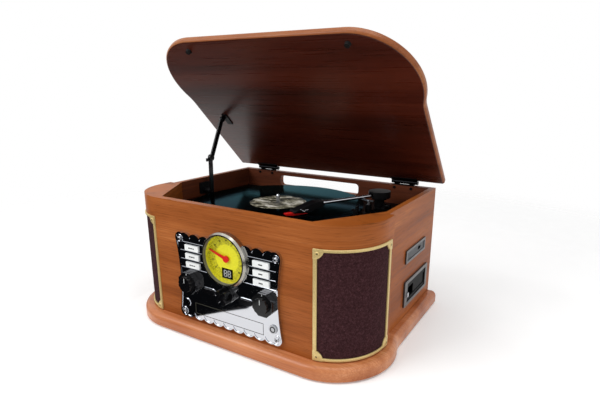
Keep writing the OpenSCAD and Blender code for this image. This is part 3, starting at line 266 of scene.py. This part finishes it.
def printed_label():
    """Plain record label, uncoated paper: dull, marbled in blotches about 20 mm wide, with two thin
    printed rings of 46 and 18 mm radius."""
    material, tree, spot = new_material("printed paper label")
    far = distance_from(tree, spot, (RECORD[0], RECORD[1] - MID, 0), (1, 1, 0))
    drawn = add(tree, "Mapping", {"Vector": spot, "Scale": (1.0, 1.6, 1.0)})
    marble = add(tree, "TexNoise", {"Vector": drawn, "Scale": 1 / 21, "Detail": 5.0,
                                    "Roughness": 0.65})
    paper = add(tree, "ValToRGB", {0: marble}, stops=[
        (0.4, "#12110d"), (0.48, "#57533d"), (0.54, "#b5b09c"), (0.64, "#ece9e0")])
    outer = add(tree, "Math", {0: far, 1: 46.0, 2: 0.5}, operation="COMPARE")
    inner = add(tree, "Math", {0: far, 1: 18.0, 2: 0.4}, operation="COMPARE")
    rings = add(tree, "Math", {0: outer, 1: inner}, operation="ADD")
    return finished(material, tree, {
        "Base Color": add(tree, "Mix", {SHARE: rings, FIRST: paper, SECOND: rgb("#3c3a2c")},
                          out=MIXED, data_type="RGBA"),
        "Roughness": 0.55,
        "Normal": add(tree, "Bump", {"Height": marble, "Strength": 0.05, "Distance": 0.05 * MM})})


def printed_dial():
    """Yellow dial card under a clear gloss: plain and bright inside a ring of 22 mm, and mottled
    outside it with ink specks of 2 mm. The same card lines the rim's inner wall. More than 6 mm
    in front of the front panel it is painted grey instead, as painted shade on the rim's inner wall."""
    material, tree, spot = new_material("yellow printed dial card")
    far = distance_from(tree, spot, (0, 0, DIAL_Z + SILL), (1, 0, 1))
    mottle = add(tree, "TexNoise", {"Vector": spot, "Scale": 1 / 2, "Detail": 5.0,
                                    "Roughness": 0.7})
    inside = add(tree, "ValToRGB", {0: mottle}, stops=[(0.3, "#e3dc10"), (0.7, "#f3ee2a")])
    outside = add(tree, "ValToRGB", {0: mottle}, stops=[
        (0.36, "#8f8a1c"), (0.5, "#d2cb18"), (0.7, "#e6df26")])
    edge = add(tree, "MapRange", {"Value": far, "From Min": 21.0, "From Max": 23.0})
    card = add(tree, "Mix", {SHARE: edge, FIRST: inside, SECOND: outside}, out=MIXED,
               data_type="RGBA")
    # The band more than 6 mm in front of the front panel is painted grey, as painted shade on the
    # rim's inner wall
    depth = add(tree, "SeparateXYZ", {0: spot}, out="Y")
    painted_shade_band = add(tree, "Math", {0: depth, 1: -6.0 - MID}, operation="LESS_THAN")
    return finished(material, tree, {
        "Base Color": add(tree, "Mix", {SHARE: painted_shade_band, FIRST: card, SECOND: rgb("#5b5a52")},
                          out=MIXED, data_type="RGBA"),
        "Roughness": 0.35, "Coat Weight": 0.3})


ALONG_X = (0.05, 1.0, 1.0)               # grain 20 times as long as it is wide, from side to side
AROUND = (0.05, 0.05, 1.0)               # level grain that goes round the cabinet
LID_GRAIN = (LID_OPEN, 0, 0)             # turns the pattern with the open lid

# Satin lacquer over red-brown cherry: warm, with a broad soft highlight
walls = veneer("satin lacquered cherry veneer walls",
               [(0.0, "#6b3312"), (0.4, "#8f4b1b"), (0.75, "#a65d2a"), (1.0, "#be773f")],
               AROUND, shine=0.12)
# Thin matt sealer inside, which hardly shines; its colour is the walls' cherry painted darker, as
# painted shade inside the cabinet
inner = veneer("matt cherry veneer inside painted darker as shade",
               [(0.0, "#401b0c"), (0.5, "#5f2d17"), (1.0, "#7a4023")], AROUND, 0.5, coat=0.0)
# Thicker lacquer on the plinth's round nose: paler and smoother, with a clear highlight
board = veneer("gloss lacquered cherry plinth",
               [(0.0, "#884521"), (0.45, "#ad6438"), (0.8, "#c0794c"), (1.0, "#cf8b5f")],
               ALONG_X, 0.34, coat=0.3, pores=0.85)
# The lid's top is rubbed finer than the walls: the same cherry with a slightly clearer highlight
lid_top = veneer("satin lacquered cherry veneer lid top",
                 [(0.0, "#6e3817"), (0.5, "#91522a"), (1.0, "#ab6e41")],
                 ALONG_X, 0.36, LID_GRAIN)
# The lid's underside is the same cherry painted dark as shade, and glossier, so it mirrors the deck
# and the light from the left
lid_under_painted_shade = veneer("gloss lacquered cherry lid underside painted dark as shade",
                 [(0.0, "#2c0e06"), (0.5, "#47180b"), (1.0, "#592414")],
                 ALONG_X, 0.3, LID_GRAIN, 0.1, 0.4)
# Moulded ABS with the mould's spark texture: nearly black, with blurred grey highlights
black = moulded("black moulded ABS", "#060608", 0.42, shine=0.15)
# Sprayed ABS: smoother, and so black that it only shines at a low angle
deck_black = moulded("black sprayed ABS deck", "#040405", 0.36, 0.05, shine=0.08)
# Coarser mould: matt, hardly lighter where the light falls
bay_black = moulded("matt black moulded ABS bay", "#08090a", 0.55, shine=0.12)
# Polished mould: the same black, with small sharp highlights. It also paints the shade in the
# screws' cross recesses
gloss_black = moulded("gloss black moulded ABS and painted recess shade", "#09090b", 0.18, 0.05, coat=0.1, shine=0.25)
# Moulded rubber: dull dark grey with no highlight
rubber = moulded("black moulded rubber", "#0e0d0d", 0.7, 0.3, shine=0.25)
# Clean white and red mouldings, slightly shiny
white = moulded("white moulded ABS", "#eceeed", 0.32)
red = moulded("red moulded ABS", "#d3130d", 0.3)
red_ring = moulded("red moulded ABS socket ring", "#b3201c", 0.35)
# Screen printing ink: flat and dull. The dark ink also paints the shadow line in the gap round the
# tray
dark_ink_and_gap_shadow = moulded("dark screen printing ink and painted gap shadow", "#23230f", 0.6)
pale_print = moulded("pale screen printing ink", "#b9bcbc", 0.5)
# Chrome plate on polished plastic: a mirror, or a blurred one on the dial's rim
chrome = metal("polished chrome plate", "#c9cbd0", 0.06, depth=0.02)
rim_chrome = metal("satin chrome plate", "#a9a69c", 0.22)
# Brushed steel: grey, with highlights drawn out across the brushing
steel = metal("brushed stainless steel", "#b4b6ba", 0.3, (0.1, 1, 1))
# Blackened steel of the hinges and wood screws: black with a faint metal glint
black_steel = metal("blackened steel", "#1b1b1d", 0.38)
# Turned brass: pale yellow metal
brass = metal("turned pale brass", "#cfc08a", 0.32)
# Metallic paint on plastic: even grey that lightens where it faces the light
silver = metal("silver metallic paint", "#5d5c5d", 0.3)
grey_metal = metal("dark grey metallic paint", "#3f4043", 0.4)
gold = gold_enamel()
cloth = woven_cloth()
vinyl = pressed_vinyl()
label = printed_label()
yellow = printed_dial()

by_slot = {"veneer": walls, "black_plastic": black, "gloss_black": gloss_black, "vinyl": vinyl,
           "rubber": rubber, "chrome": chrome, "steel": steel, "pale_brass": brass,
           "cloth": cloth, "dial_yellow": yellow, "needle_red": red, "white_plastic": white,
           "silver_paint": silver}
slot_of = {part["node"]: part["material_slot"] for part in frame["record"]["subparts"]}


# Finishes of the CAD nodes. Most have one, and some have two on different faces

def wear(node, *materials, choose=None):
    """Gives a CAD node its materials. choose(spots, ways) picks one for each face by its number,
    from the faces' middles in cabinet millimetres and the ways that they look."""
    mesh = nodes[node].data
    mesh.materials.clear()
    for material in materials:
        mesh.materials.append(material)
    count = len(mesh.polygons)
    picks = np.zeros(count, int)
    if choose:
        spots, ways = np.empty(count * 3), np.empty(count * 3)
        mesh.polygons.foreach_get("center", spots)
        mesh.polygons.foreach_get("normal", ways)
        spots = spots.reshape(-1, 3) / MM - (0, -MID, SILL)
        picks = np.asarray(choose(spots, ways.reshape(-1, 3)), int)
    mesh.polygons.foreach_set("material_index", picks)


def in_slot(spots, middle, half):
    """Whether a spot of the right side lies on a slot's bed: deeper than the plates, and within
    half the slot's size of its middle, backward and up."""
    return (spots[:, 0] < BED_X) & (abs(spots[:, 1:] - middle) < half).all(1)


BED_X = 213.6                            # the side slots' beds lie inside of this
CARD_SLOT = ((223.5, 108.0), (44.0, 9.0))                # its middle and half its size, for in_slot
CASSETTE_SLOT = ((233.5, 42.8), (54.0, 20.0))
INSIDE_Y = 310.0                         # the back panel's faces in front of this take the inside cherry, painted darker as shade
FRONT_SCREWS_Y = 200.0                   # the screws behind this are blackened wood screws
DISPLAY_Y = -0.2                         # the dial's display is black in front of this
RIM_LIP_Y = -10.9                        # the dial's rim is all chrome in front of this
TRAY_FRONT_Y = -0.5                      # the tray is chromed in front of this
FINGER_LIFT = 9.2                        # the finger lift lies this far or more from the arm's line
# The ways that the open lid's underside looks, and that lead level off the arm's line
lid_down = np.array([0, -math.sin(LID_OPEN), -math.cos(LID_OPEN)])
off_arm = np.array([-math.sin(ARM_TURN), math.cos(ARM_TURN)])

for node, slot_name in slot_of.items():
    wear(node, by_slot[slot_name])
wear("base_plinth", board)
# The lid's underside takes the cherry painted dark as shade
wear("lid", lid_top, lid_under_painted_shade, choose=lambda spots, ways: ways @ lid_down > 0.9)
# Faces inside the cabinet take the inside cherry, whose darker colour is painted shade
wear("back_panel", walls, inner, choose=lambda spots, ways: spots[:, 1] < INSIDE_Y)
wear("left_side_panel", walls, inner, choose=lambda spots, ways: ways[:, 0] > 0.5)
wear("right_side_panel", walls, inner, choose=lambda spots, ways: ways[:, 0] < -0.5)
wear("front_panel", walls, inner, choose=lambda spots, ways: ways[:, 1] > 0.5)
wear("deck_plate", deck_black)
wear("arm_headshell", black, chrome,
     choose=lambda spots, ways: (spots[:, :2] - ARM) @ off_arm > FINGER_LIFT)
# The rim's inner wall, whose faces look at the dial's middle, is lined like the dial, with a grey
# band at its front that is painted shade
wear("dial_bezel", rim_chrome, yellow, choose=lambda spots, ways: (spots[:, 1] > RIM_LIP_Y) & (
    spots[:, 0] * ways[:, 0] + (spots[:, 2] - DIAL_Z) * ways[:, 2] < 0))
wear("dial_face", yellow, gloss_black, choose=lambda spots, ways: spots[:, 1] < DISPLAY_Y)
wear("card_panel", silver, grey_metal, choose=lambda spots, ways: in_slot(spots, *CARD_SLOT))
wear("cassette_bezel", silver, bay_black,
     choose=lambda spots, ways: in_slot(spots, *CASSETTE_SLOT))
wear("cassette_flap", bay_black)
wear("screws", steel, black_steel, choose=lambda spots, ways: spots[:, 1] > FRONT_SCREWS_Y)
wear("speaker_frames", gold)
wear("hinge_lid_leaves", black_steel)
wear("hinge_body_leaves", black_steel)
wear("disc_tray", chrome, black, choose=lambda spots, ways: spots[:, 1] > TRAY_FRONT_Y)


def soften(node, width_mm):
    """Rounds a CAD node's sharp edges by a small width. Its points are doubled along them, so they
    are joined first, and the flat faces keep their own normals."""
    joined = nodes[node].modifiers.new("joined points", "WELD")
    joined.merge_threshold = 0.002 * MM
    edge = nodes[node].modifiers.new("soft edge", "BEVEL")
    edge.width = width_mm * MM
    edge.segments = 2
    edge.limit_method = "ANGLE"
    edge.angle_limit = math.radians(40)
    edge.harden_normals = True


# How far the edges of small pieces are rounded, millimetres, where they catch the light
SOFT_EDGE = {"left_pill_button": 0.5, "right_pill_button": 0.5, "round_button": 0.5,
             "volume_knob": 0.5, "tuning_knob": 0.5, "function_knob": 0.5,
             "arm_headshell": 0.9, "stylus": 0.5, "cue_lever": 0.4,
             "stay_lower_link": 0.3, "stay_upper_link": 0.3}
SOFT_EDGE.update({node: 0.5 for node in slot_of if "_button_" in node})
for node, width in SOFT_EDGE.items():
    soften(node, width)


# Shapes

def mesh_piece(name, points, faces, material, body, smooth, slot):
    """A mesh of points (cabinet millimetres) and four-sided faces that rides on a body."""
    mesh = bpy.data.meshes.new(name)
    mesh.from_pydata(place(points).tolist(), [], np.asarray(faces).tolist())
    mesh.materials.append(material)
    mesh.polygons.foreach_set("use_smooth", np.full(len(mesh.polygons), smooth))
    mesh.update()
    obj = bpy.data.objects.new(name, mesh)
    scene.collection.objects.link(obj)
    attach(obj, body)
    return obj


def grid_faces(rows, cols, closed=False):
    """Quads of a rows by cols grid of points; closed joins the last column to the first."""
    count = np.arange(rows * cols).reshape(rows, cols)
    if closed:
        count = np.concatenate([count, count[:, :1]], 1)
    corners = [count[:-1, :-1], count[1:, :-1], count[1:, 1:], count[:-1, 1:]]
    return np.stack(corners, -1).reshape(-1, 4)


def square_to(way):
    """A unit vector square to way: way crossed with the upright, or with x where way itself is
    upright."""
    side = np.cross(way, (0, 0, 1) if abs(way[2]) < 0.9 else (1, 0, 0))
    return side / np.linalg.norm(side)


def turned_points(profile, centre, axis, steps):
    """Points of a profile of (radius, height) turned about an axis from centre: centre + height a +
    radius (cos t u + sin t v), with u and v square to the axis a."""
    axis = np.asarray(axis, float) / np.linalg.norm(axis)
    u = square_to(axis)
    v = np.cross(axis, u)
    t = np.linspace(0, 2 * np.pi, steps, endpoint=False)
    ring = np.cos(t)[:, None] * u + np.sin(t)[:, None] * v
    radius, height = np.asarray(profile, float).T[..., None, None]
    return np.asarray(centre, float) + height * axis + radius * ring


def turned(name, profile, centre, axis, material, body, steps, slot):
    """A turned piece, or several alike when centre and axis are lists. The profile runs from the
    top middle outward and down, so its faces look out."""
    centres = np.atleast_2d(centre)
    axes = np.broadcast_to(np.atleast_2d(axis), centres.shape)
    points, faces, rows = [], [], len(profile)
    for k, (one, along) in enumerate(zip(centres, axes)):
        points.append(turned_points(profile, one, along, steps).reshape(-1, 3))
        faces.append(grid_faces(rows, steps, True) + k * rows * steps)
    return mesh_piece(name, np.concatenate(points), np.concatenate(faces), material, body, True,
                      slot)


def bars(name, centres, sizes_mm, axes, material, body, slot):
    """Small boxes: centre, size along each of three axes. The eight corners are the centre plus or
    minus half of each."""
    signs = np.array([[x, y, z] for z in (-1, 1) for y in (-1, 1) for x in (-1, 1)]) / 2
    centres, sizes_mm, axes = (np.asarray(value, float) for value in (centres, sizes_mm, axes))
    axes = np.broadcast_to(axes, (len(centres), 3, 3))
    sizes_mm = np.broadcast_to(sizes_mm, (len(centres), 3))
    corners = centres[:, None] + np.einsum("ck,nk,nkd->ncd", signs, sizes_mm, axes)
    box = np.array([[0, 2, 3, 1], [4, 5, 7, 6], [0, 1, 5, 4], [2, 6, 7, 3], [0, 4, 6, 2],
                    [1, 3, 7, 5]])
    faces = (box + 8 * np.arange(len(centres))[:, None, None]).reshape(-1, 4)
    return mesh_piece(name, corners.reshape(-1, 3), faces, material, body, False, slot)


FRONT = np.array([[1, 0, 0], [0, 0, 1], [0, -1, 0]], float)     # right, up and out of the front


def turned_axes(axes, angle):
    """Axes with the first two turned about the third."""
    c, s = math.cos(angle), math.sin(angle)
    return np.array([c * axes[0] + s * axes[1], -s * axes[0] + c * axes[1], axes[2]])


# Plain paper label on the record, with its hole round the spindle
turned("record_label", [(3.75, 0.02), (3.75, 0.16), (49.4, 0.16), (49.7, 0.02)],
       (*RECORD, RECORD_TOP), (0, 0, 1), label, "turntable", 96, "vinyl")

# Dial print: ticks, dots, plain numbers and the display's digits, all as thin strokes. A stroke of
# a digit is given by its middle in half digits across and up, and by whether it is upright
SEGMENTS = {"0": "abcdef", "1": "bc", "2": "abged", "4": "fgbc", "6": "afgedc", "8": "abcdefg",
            "9": "abcdfg"}
STROKE = {"a": (0, 1, False), "b": (0.5, 0.5, True), "c": (0.5, -0.5, True), "d": (0, -1, False),
          "e": (-0.5, -0.5, True), "f": (-0.5, 0.5, True), "g": (0, 0, False)}
DIGIT_STEP = 0.78                        # from one digit to the next, in digit heights
STATIONS = ("108", "104", "100", "98", "96", "94", "92", "90", "88", "86", "84")
FIRST_TICK, DIAL_SWEEP = -38.0, 256.0    # degrees, from the right and round to the last tick
DIAL_TICKS = 50                          # gaps between ticks
TICK_R, DOT_R, NUMBER_R = 34.6, 24.4, 28.2
LONG_TICK, SHORT_TICK, DOT, TICK_WIDE = 3.6, 2.0, 1.8, 0.5


def digit_bars(text, at, height, y, thick):
    """Centres, sizes and axes of the strokes that write a number about a point of the front
    plane. A digit is half as wide as it is high."""
    strokes = []
    half = height / 2
    for k, letter in enumerate(text):
        middle = at[0] + (k - (len(text) - 1) / 2) * height * DIGIT_STEP
        for part in SEGMENTS[letter]:
            across, up, upright = STROKE[part]
            long = half + thick
            size = (thick, long, INK) if upright else (long, thick, INK)
            strokes.append(((middle + across * half, y, at[1] + up * half), size, FRONT))
    return strokes


marks = []
for k in range(DIAL_TICKS + 1):
    turn = math.radians(FIRST_TICK + k * DIAL_SWEEP / DIAL_TICKS)
    tick = SHORT_TICK if k % 5 else LONG_TICK
    strokes = [(TICK_R - tick / 2, tick)]
    if k % 5 == 0:
        strokes.append((DOT_R, DOT))
    for radius, length in strokes:
        at = (radius * math.cos(turn), DIAL_FACE_Y - PROUD, DIAL_Z + radius * math.sin(turn))
        marks.append((at, (length, TICK_WIDE, INK), turned_axes(FRONT, turn)))
for k, text in enumerate(STATIONS):
    turn = math.radians(FIRST_TICK + k * DIAL_SWEEP / 10)
    at = (NUMBER_R * math.cos(turn), DIAL_Z + NUMBER_R * math.sin(turn))
    marks += digit_bars(text, at, 2.6, DIAL_FACE_Y - PROUD, 0.42)
bars("dial_print", *map(np.array, zip(*marks)), dark_ink_and_gap_shadow, "cabinet", "dial_yellow")
digits = digit_bars("88", (0, 98), 9.5, DISPLAY_FACE_Y - PROUD, 1.5)
bars("display_digits", *map(np.array, zip(*digits)), pale_print, "cabinet", "gloss_black")

# Speaker frames and cloths, drawn on the rounded corners. The frame starts 0.4 degrees behind the
# corner's front seam, and ends 11 mm behind the end of the arc
START = math.radians(0.4) - math.acos(SEAM_X / CORNER_R)         # turn of the corner there
ARC = -START * CORNER_R                                          # from there to the arc's end
WIDE, FOOT, TOP = ARC + 11.0, 2.0, 165.0
STRIP = (5.4, 4.0)                       # width of its upright and its level strips
GUSSET_R = 15.0
CLOTH_IN = 2.0                           # how far the cloth's edge lies inside the frame's edge
CLOTH_WIDE = WIDE - 2 * CLOTH_IN
CLOTH_TALL = TOP - FOOT - 2 * CLOTH_IN


def on_corner(points, side):
    """Points (way along the corner from the frame's start, height, rise off it) in cabinet
    millimetres. The corner is an arc of CORNER_R about CORNER, then a straight run backward."""
    along, up, rise = np.asarray(points, float).T
    turn = START + np.minimum(along, ARC) / CORNER_R
    x = CORNER[0] + (CORNER_R + rise) * np.cos(turn)
    y = CORNER[1] + (CORNER_R + rise) * np.sin(turn) + np.maximum(along - ARC, 0)
    return np.stack([side * x, y, up], -1)


def with_rise(flat, rise):
    """A list of (along, up, rise) from rows of flat points and one rise for each row."""
    rise = np.broadcast_to(np.reshape(rise, (-1, 1, 1)), flat[..., :1].shape)
    return np.concatenate([flat, rise], -1).reshape(-1, 3)


def frame_mesh(side):
    """One frame. A moulding profile (share of the strip's width, rise) goes round the rectangle of
    the frame: each of its rows runs from corner to corner at its own inset, so that the corners
    are mitred. A gusset, a quarter of a low dome, lies in each corner."""
    profile = np.array([(1.0, -0.3), (1.0, 1.3), (0.82, 1.9), (0.2, 1.9), (0.0, 1.3), (0.0, 0.0)])
    share = np.linspace(0, 1, 56, endpoint=False)[:, None]
    inset = profile[:, :1] * STRIP
    start, end = (0, FOOT) + inset, (WIDE, TOP) - inset
    right_low = np.column_stack([end[:, 0], start[:, 1]])
    left_top = np.column_stack([start[:, 0], end[:, 1]])
    corners = np.stack([start, right_low, end, left_top], 1)
    ways = np.roll(corners, -1, 1) - corners
    flat = (corners[:, :, None] + ways[:, :, None] * share).reshape(len(profile), -1, 2)
    points = [with_rise(flat, profile[:, 1])]
    faces = [grid_faces(*flat.shape[:2], True)]
    dome = np.array([(0.05, 2.2), (6.0, 2.25), (13.2, 2.2), (14.3, 1.9), (GUSSET_R, 1.2),
                     (GUSSET_R, -0.3)])
    for k, corner in enumerate(((0, FOOT), (WIDE, FOOT), (WIDE, TOP), (0, TOP))):
        turn = np.radians(90 * k + np.linspace(0, 90, 25))
        flat = dome[:, :1, None] * np.stack([np.cos(turn), np.sin(turn)], -1) + corner
        points.append(with_rise(flat, dome[:, 1]))
        faces.append(grid_faces(*flat.shape[:2]) + sum(map(len, points[:-1])))
    faces = np.concatenate(faces)
    return on_corner(np.concatenate(points), side), faces if side > 0 else faces[:, ::-1]


def cloth_mesh(side):
    """One cloth, 0.4 mm under the corner's face. Its threads cross at every other grid point: the
    rise is 0.09 cos(pi i) cos(pi j) times a slow unevenness, 1 + 0.3 sin(0.37 i) sin(0.23 j)."""
    rows, cols = 156, 200
    i, j = np.meshgrid(np.arange(rows), np.arange(cols), indexing="ij")
    along = CLOTH_IN + CLOTH_WIDE * i / (rows - 1)
    up = FOOT + CLOTH_IN + CLOTH_TALL * j / (cols - 1)
    uneven = 1 + 0.3 * np.sin(i * 0.37) * np.sin(j * 0.23)
    rise = -0.42 + 0.09 * np.cos(np.pi * i) * np.cos(np.pi * j) * uneven
    points = on_corner(np.stack([along, up, rise], -1).reshape(-1, 3), side)
    faces = grid_faces(rows, cols)
    return points, faces if side > 0 else faces[:, ::-1]


(left_points, left_faces), (right_points, right_faces) = frame_mesh(-1), frame_mesh(1)
trim = mesh_piece("speaker_trim", np.concatenate([left_points, right_points]),
                  np.concatenate([left_faces, right_faces + len(left_points)]), gold, "cabinet",
                  False, "pale_brass")
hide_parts("speaker_frames")
for name, side in (("left", -1), ("right", 1)):
    sheet = mesh_piece(f"{name}_grille_cloth", *cloth_mesh(side), cloth, "cabinet", True, "cloth")
    if side < 0:
        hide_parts("speaker_cloths")

# Plain dashes on the white buttons, by their place across and their length
DASHES = {"left": ((-4.2, 3.4), (0.2, 4.0), (4.4, 2.8)), "right": ((-1.6, 3.4), (1.6, 4.0))}
DASH_TALL = 1.7
for side, sign in (("left", -1), ("right", 1)):
    for row, name in enumerate(("top", "mid", "low")):
        up = BUTTON_TOP_Z - BUTTON_STEP * row
        y = BUTTON_FACE_Y - LOW_PROUD
        bars(f"{side}_{name}_mark",
             [(sign * BUTTON_X + across, y, up) for across, _ in DASHES[side]],
             [(long, DASH_TALL, INK) for _, long in DASHES[side]],
             FRONT, grey_metal, f"{side}_{name}", "white_plastic")

# Pointers on the knobs' faces and strokes on their skirts: face, rise above the axle and length
POINTERS = {"pointer": (KNOB_FACE_Y, 6.6, 7.5), "stroke": (KNOB_SKIRT_Y, 14.6, 4.4)}
POINTER_WIDE = 1.2
for name, x in (("volume", -KNOB_X), ("tuning", KNOB_X)):
    for part, (y, rise, long) in POINTERS.items():
        bars(f"{name}_{part}", [(x, y - PROUD, KNOB_Z + rise)], (POINTER_WIDE, long, INK), FRONT,
             pale_print, name, "gloss_black")


def screws_at(name, spots, ways, radius, rise, material, slot):
    """Screw heads: low domes turned about their way out, each with a dark cross let into its top,
    whose bars are 1.2 radii long. The cross is painted shade: black bars that stand for the
    shade in the head's cross recess."""
    spots = np.asarray(spots, float)
    ways = np.broadcast_to(np.asarray(ways, float), spots.shape)
    dome = np.array([(0.01, 1.0), (0.45, 0.92), (0.75, 0.72), (0.95, 0.35), (1.0, 0.0),
                     (1.0, -0.3)])
    turned(name, dome * (radius, rise), spots, ways, material, "cabinet", 32, slot)
    centres, frames = [], []
    for spot, way in zip(spots, ways):
        u = square_to(way)
        base = turned_axes(np.array([u, np.cross(way, u), way]), 0.6)
        for turn in (0, math.pi / 2):
            centres.append(spot + way * rise * 0.88)
            frames.append(turned_axes(base, turn))
    # Black crosses, painted shade of the cross recesses
    bars(name + "_recess_shade", centres, (radius * 1.2, radius * 0.28, rise * 0.35), np.array(frames),
         gloss_black, "cabinet", slot)


# A screw in each gusset, equally far in from both edges of the frame, on the gusset's face
SCREW_IN, GUSSET_FACE = 6.2, 2.2
spots, ways = [], []
for side in (-1, 1):
    for along in (SCREW_IN, WIDE - SCREW_IN):
        for up in (FOOT + SCREW_IN, TOP - SCREW_IN):
            foot, tip = on_corner([(along, up, GUSSET_FACE), (along, up, GUSSET_FACE + 1)], side)
            spots.append(foot)
            ways.append(tip - foot)
screws_at("frame_screws", spots, ways, 2.6, 1.1, gold, "pale_brass")
screws_at("fascia_screws", [(sign * SCREW_X, PLATE_Y - 1.2, z) for sign in (-1, 1)
                            for z in (SCREW_LOW_Z, SCREW_TOP_Z)],
          (0, -1, 0), 3.1, 1.1, steel, "steel")

# Rings of the two line sockets
RING = [(3.6, 0.0), (3.6, 0.7), (4.0, 1.0), (5.9, 1.0), (6.4, 0.7), (6.4, 0.0)]
for name, x, stuff in (("left", LEFT_SOCKET_X, white), ("right", RIGHT_SOCKET_X, red_ring)):
    turned(f"line_ring_{name}", RING, (x, BACK_Y, SOCKET_Z), (0, 1, 0), stuff, "cabinet", 48,
           "white_plastic")

# Painted shadow of the gap round the tray, as a dark line: two level strokes, and two uprights that
# just pass them
SHADOW_LINE = 0.9
y = PLATE_Y - LOW_PROUD
upright = [((sign * TRAY_HALF, y, (TRAY_LOW + TRAY_HIGH) / 2),
            (SHADOW_LINE, TRAY_HIGH - TRAY_LOW + 1.0, INK)) for sign in (-1, 1)]
level = [((0, y, z), (2 * TRAY_HALF + SHADOW_LINE, SHADOW_LINE, INK)) for z in (TRAY_LOW, TRAY_HIGH)]
bars("tray_gap_painted_shadow", *zip(*(upright + level)), FRONT, dark_ink_and_gap_shadow, "cabinet", "gloss_black")

# Ring on the round button
turned("button_ring", [(3.2, 0.0), (3.3, 0.5), (4.6, 0.5), (4.8, 0.0)], ROUND_BUTTON, (0, -1, 0),
       black_steel, "round", 48, "steel")


# Studio: floor, backdrop, lights and camera

def studio_floor():
    """Matt white board that fades out between 0.75 and 1.3 m from the player, where only the
    backdrop shows."""
    material, tree, spot = new_material("matt white studio board")
    grain = add(tree, "TexNoise", {"Vector": spot, "Scale": 1 / 50, "Detail": 3.0,
                                   "Roughness": 0.5})
    far = distance_from(tree, spot, (0, 0, 0), (1, 1, 1))
    return finished(material, tree, {
        "Base Color": add(tree, "ValToRGB", {0: grain},
                          stops=[(0.3, "#f3f3f3"), (0.7, "#f6f6f6")]),
        "Roughness": 0.7, "Emission Color": rgb("#ffffff"), "Emission Strength": 0.15,
        "Alpha": add(tree, "MapRange", {"Value": far, "From Min": 750.0, "From Max": 1300.0,
                                        "To Min": 1.0, "To Max": 0.0})})


def flat_stage(name, corners, height_mm, material):
    """A level polygon on the stage, its corners in cabinet millimetres."""
    mesh = bpy.data.meshes.new(name)
    points = [(x * MM, (y - MID) * MM, height_mm * MM) for x, y in corners]
    mesh.from_pydata(points, [], [list(range(len(points)))])
    mesh.materials.append(material)
    obj = bpy.data.objects.new(name, mesh)
    scene.collection.objects.link(obj)
    return obj


flat_stage("floor", [(-1600, -1450), (1600, -1450), (1600, 1750), (-1600, 1750)], 0.0,
           studio_floor())
# A dark card on the table that only mirrors see: it gives the chrome its black half
DARK_CARD = [(-125, -38), (-250, -38), (-300, 190), (-2500, 190), (-2500, -2500), (1500, -2500),
             (1500, -230), (-62, -212), (-60, -119), (-87, -89)]
card = flat_stage("dark_card", DARK_CARD, 0.6,
                  moulded("dark grey studio card", "#0b0c0e", 0.9, shine=0.0))
for kind in ("camera", "diffuse", "shadow", "transmission"):
    setattr(card, "visible_" + kind, False)

# The world lights the player softly, and is plain white to the camera, mirrors and glass
world = bpy.data.worlds.new("studio")
scene.world = world
world.use_nodes = True
tree = world.node_tree
tree.nodes.clear()
rays = [add(tree, "LightPath", out=f"Is {kind} Ray")
        for kind in ("Camera", "Glossy", "Transmission")]
seen = add(tree, "Math", {0: rays[0], 1: rays[1]}, operation="MAXIMUM")
seen = add(tree, "Math", {0: seen, 1: rays[2]}, operation="MAXIMUM")
dim = add(tree, "Background", {0: rgb("#ffffff"), 1: 0.45})
bright = add(tree, "Background", {0: rgb("#ffffff"), 1: 1.0})
add(tree, "OutputWorld", {0: add(tree, "MixShader", {0: seen, 1: dim, 2: bright})})


def soft_light(name, at, aim, size, power):
    """A square soft box that faces aim: its place, aim and size in metres, its power in watts."""
    data = bpy.data.lights.new(name, "AREA")
    data.size = size
    data.energy = power
    lamp = bpy.data.objects.new(name, data)
    lamp.location = at
    lamp.rotation_euler = (Vector(aim) - Vector(at)).to_track_quat("-Z", "Y").to_euler()
    scene.collection.objects.link(lamp)


soft_light("front left box", (-1.2, -1.6, 1.7), (0, 0, 0.15), 1.4, 32)
soft_light("right box", (1.9, -0.6, 0.9), (0, 0, 0.1), 1.2, 7)
soft_light("top box", (0.2, -0.3, 2.4), (0, 0, 0.1), 1.6, 22)

# The photograph's camera: its place in cabinet millimetres, and its turns in radians
CAMERA_AT = (440.5, -480.2, 360.2)
YAW, PITCH, ROLL = 0.5246, 0.2849, 0.0095
camera = bpy.data.cameras.new("camera")
camera.lens = 27.58
camera.sensor_width = 36
camera.shift_x = -0.0377
camera.shift_y = 0.0369
eye = bpy.data.objects.new("camera", camera)
eye.location = place(CAMERA_AT)
eye.rotation_euler = (Matrix.Rotation(YAW, 3, "Z")
                      @ Matrix.Rotation(math.pi / 2 - PITCH, 3, "X")
                      @ Matrix.Rotation(ROLL, 3, "Z")).to_euler()
scene.collection.objects.link(eye)
scene.camera = eye
scene.view_settings.view_transform = "Standard"
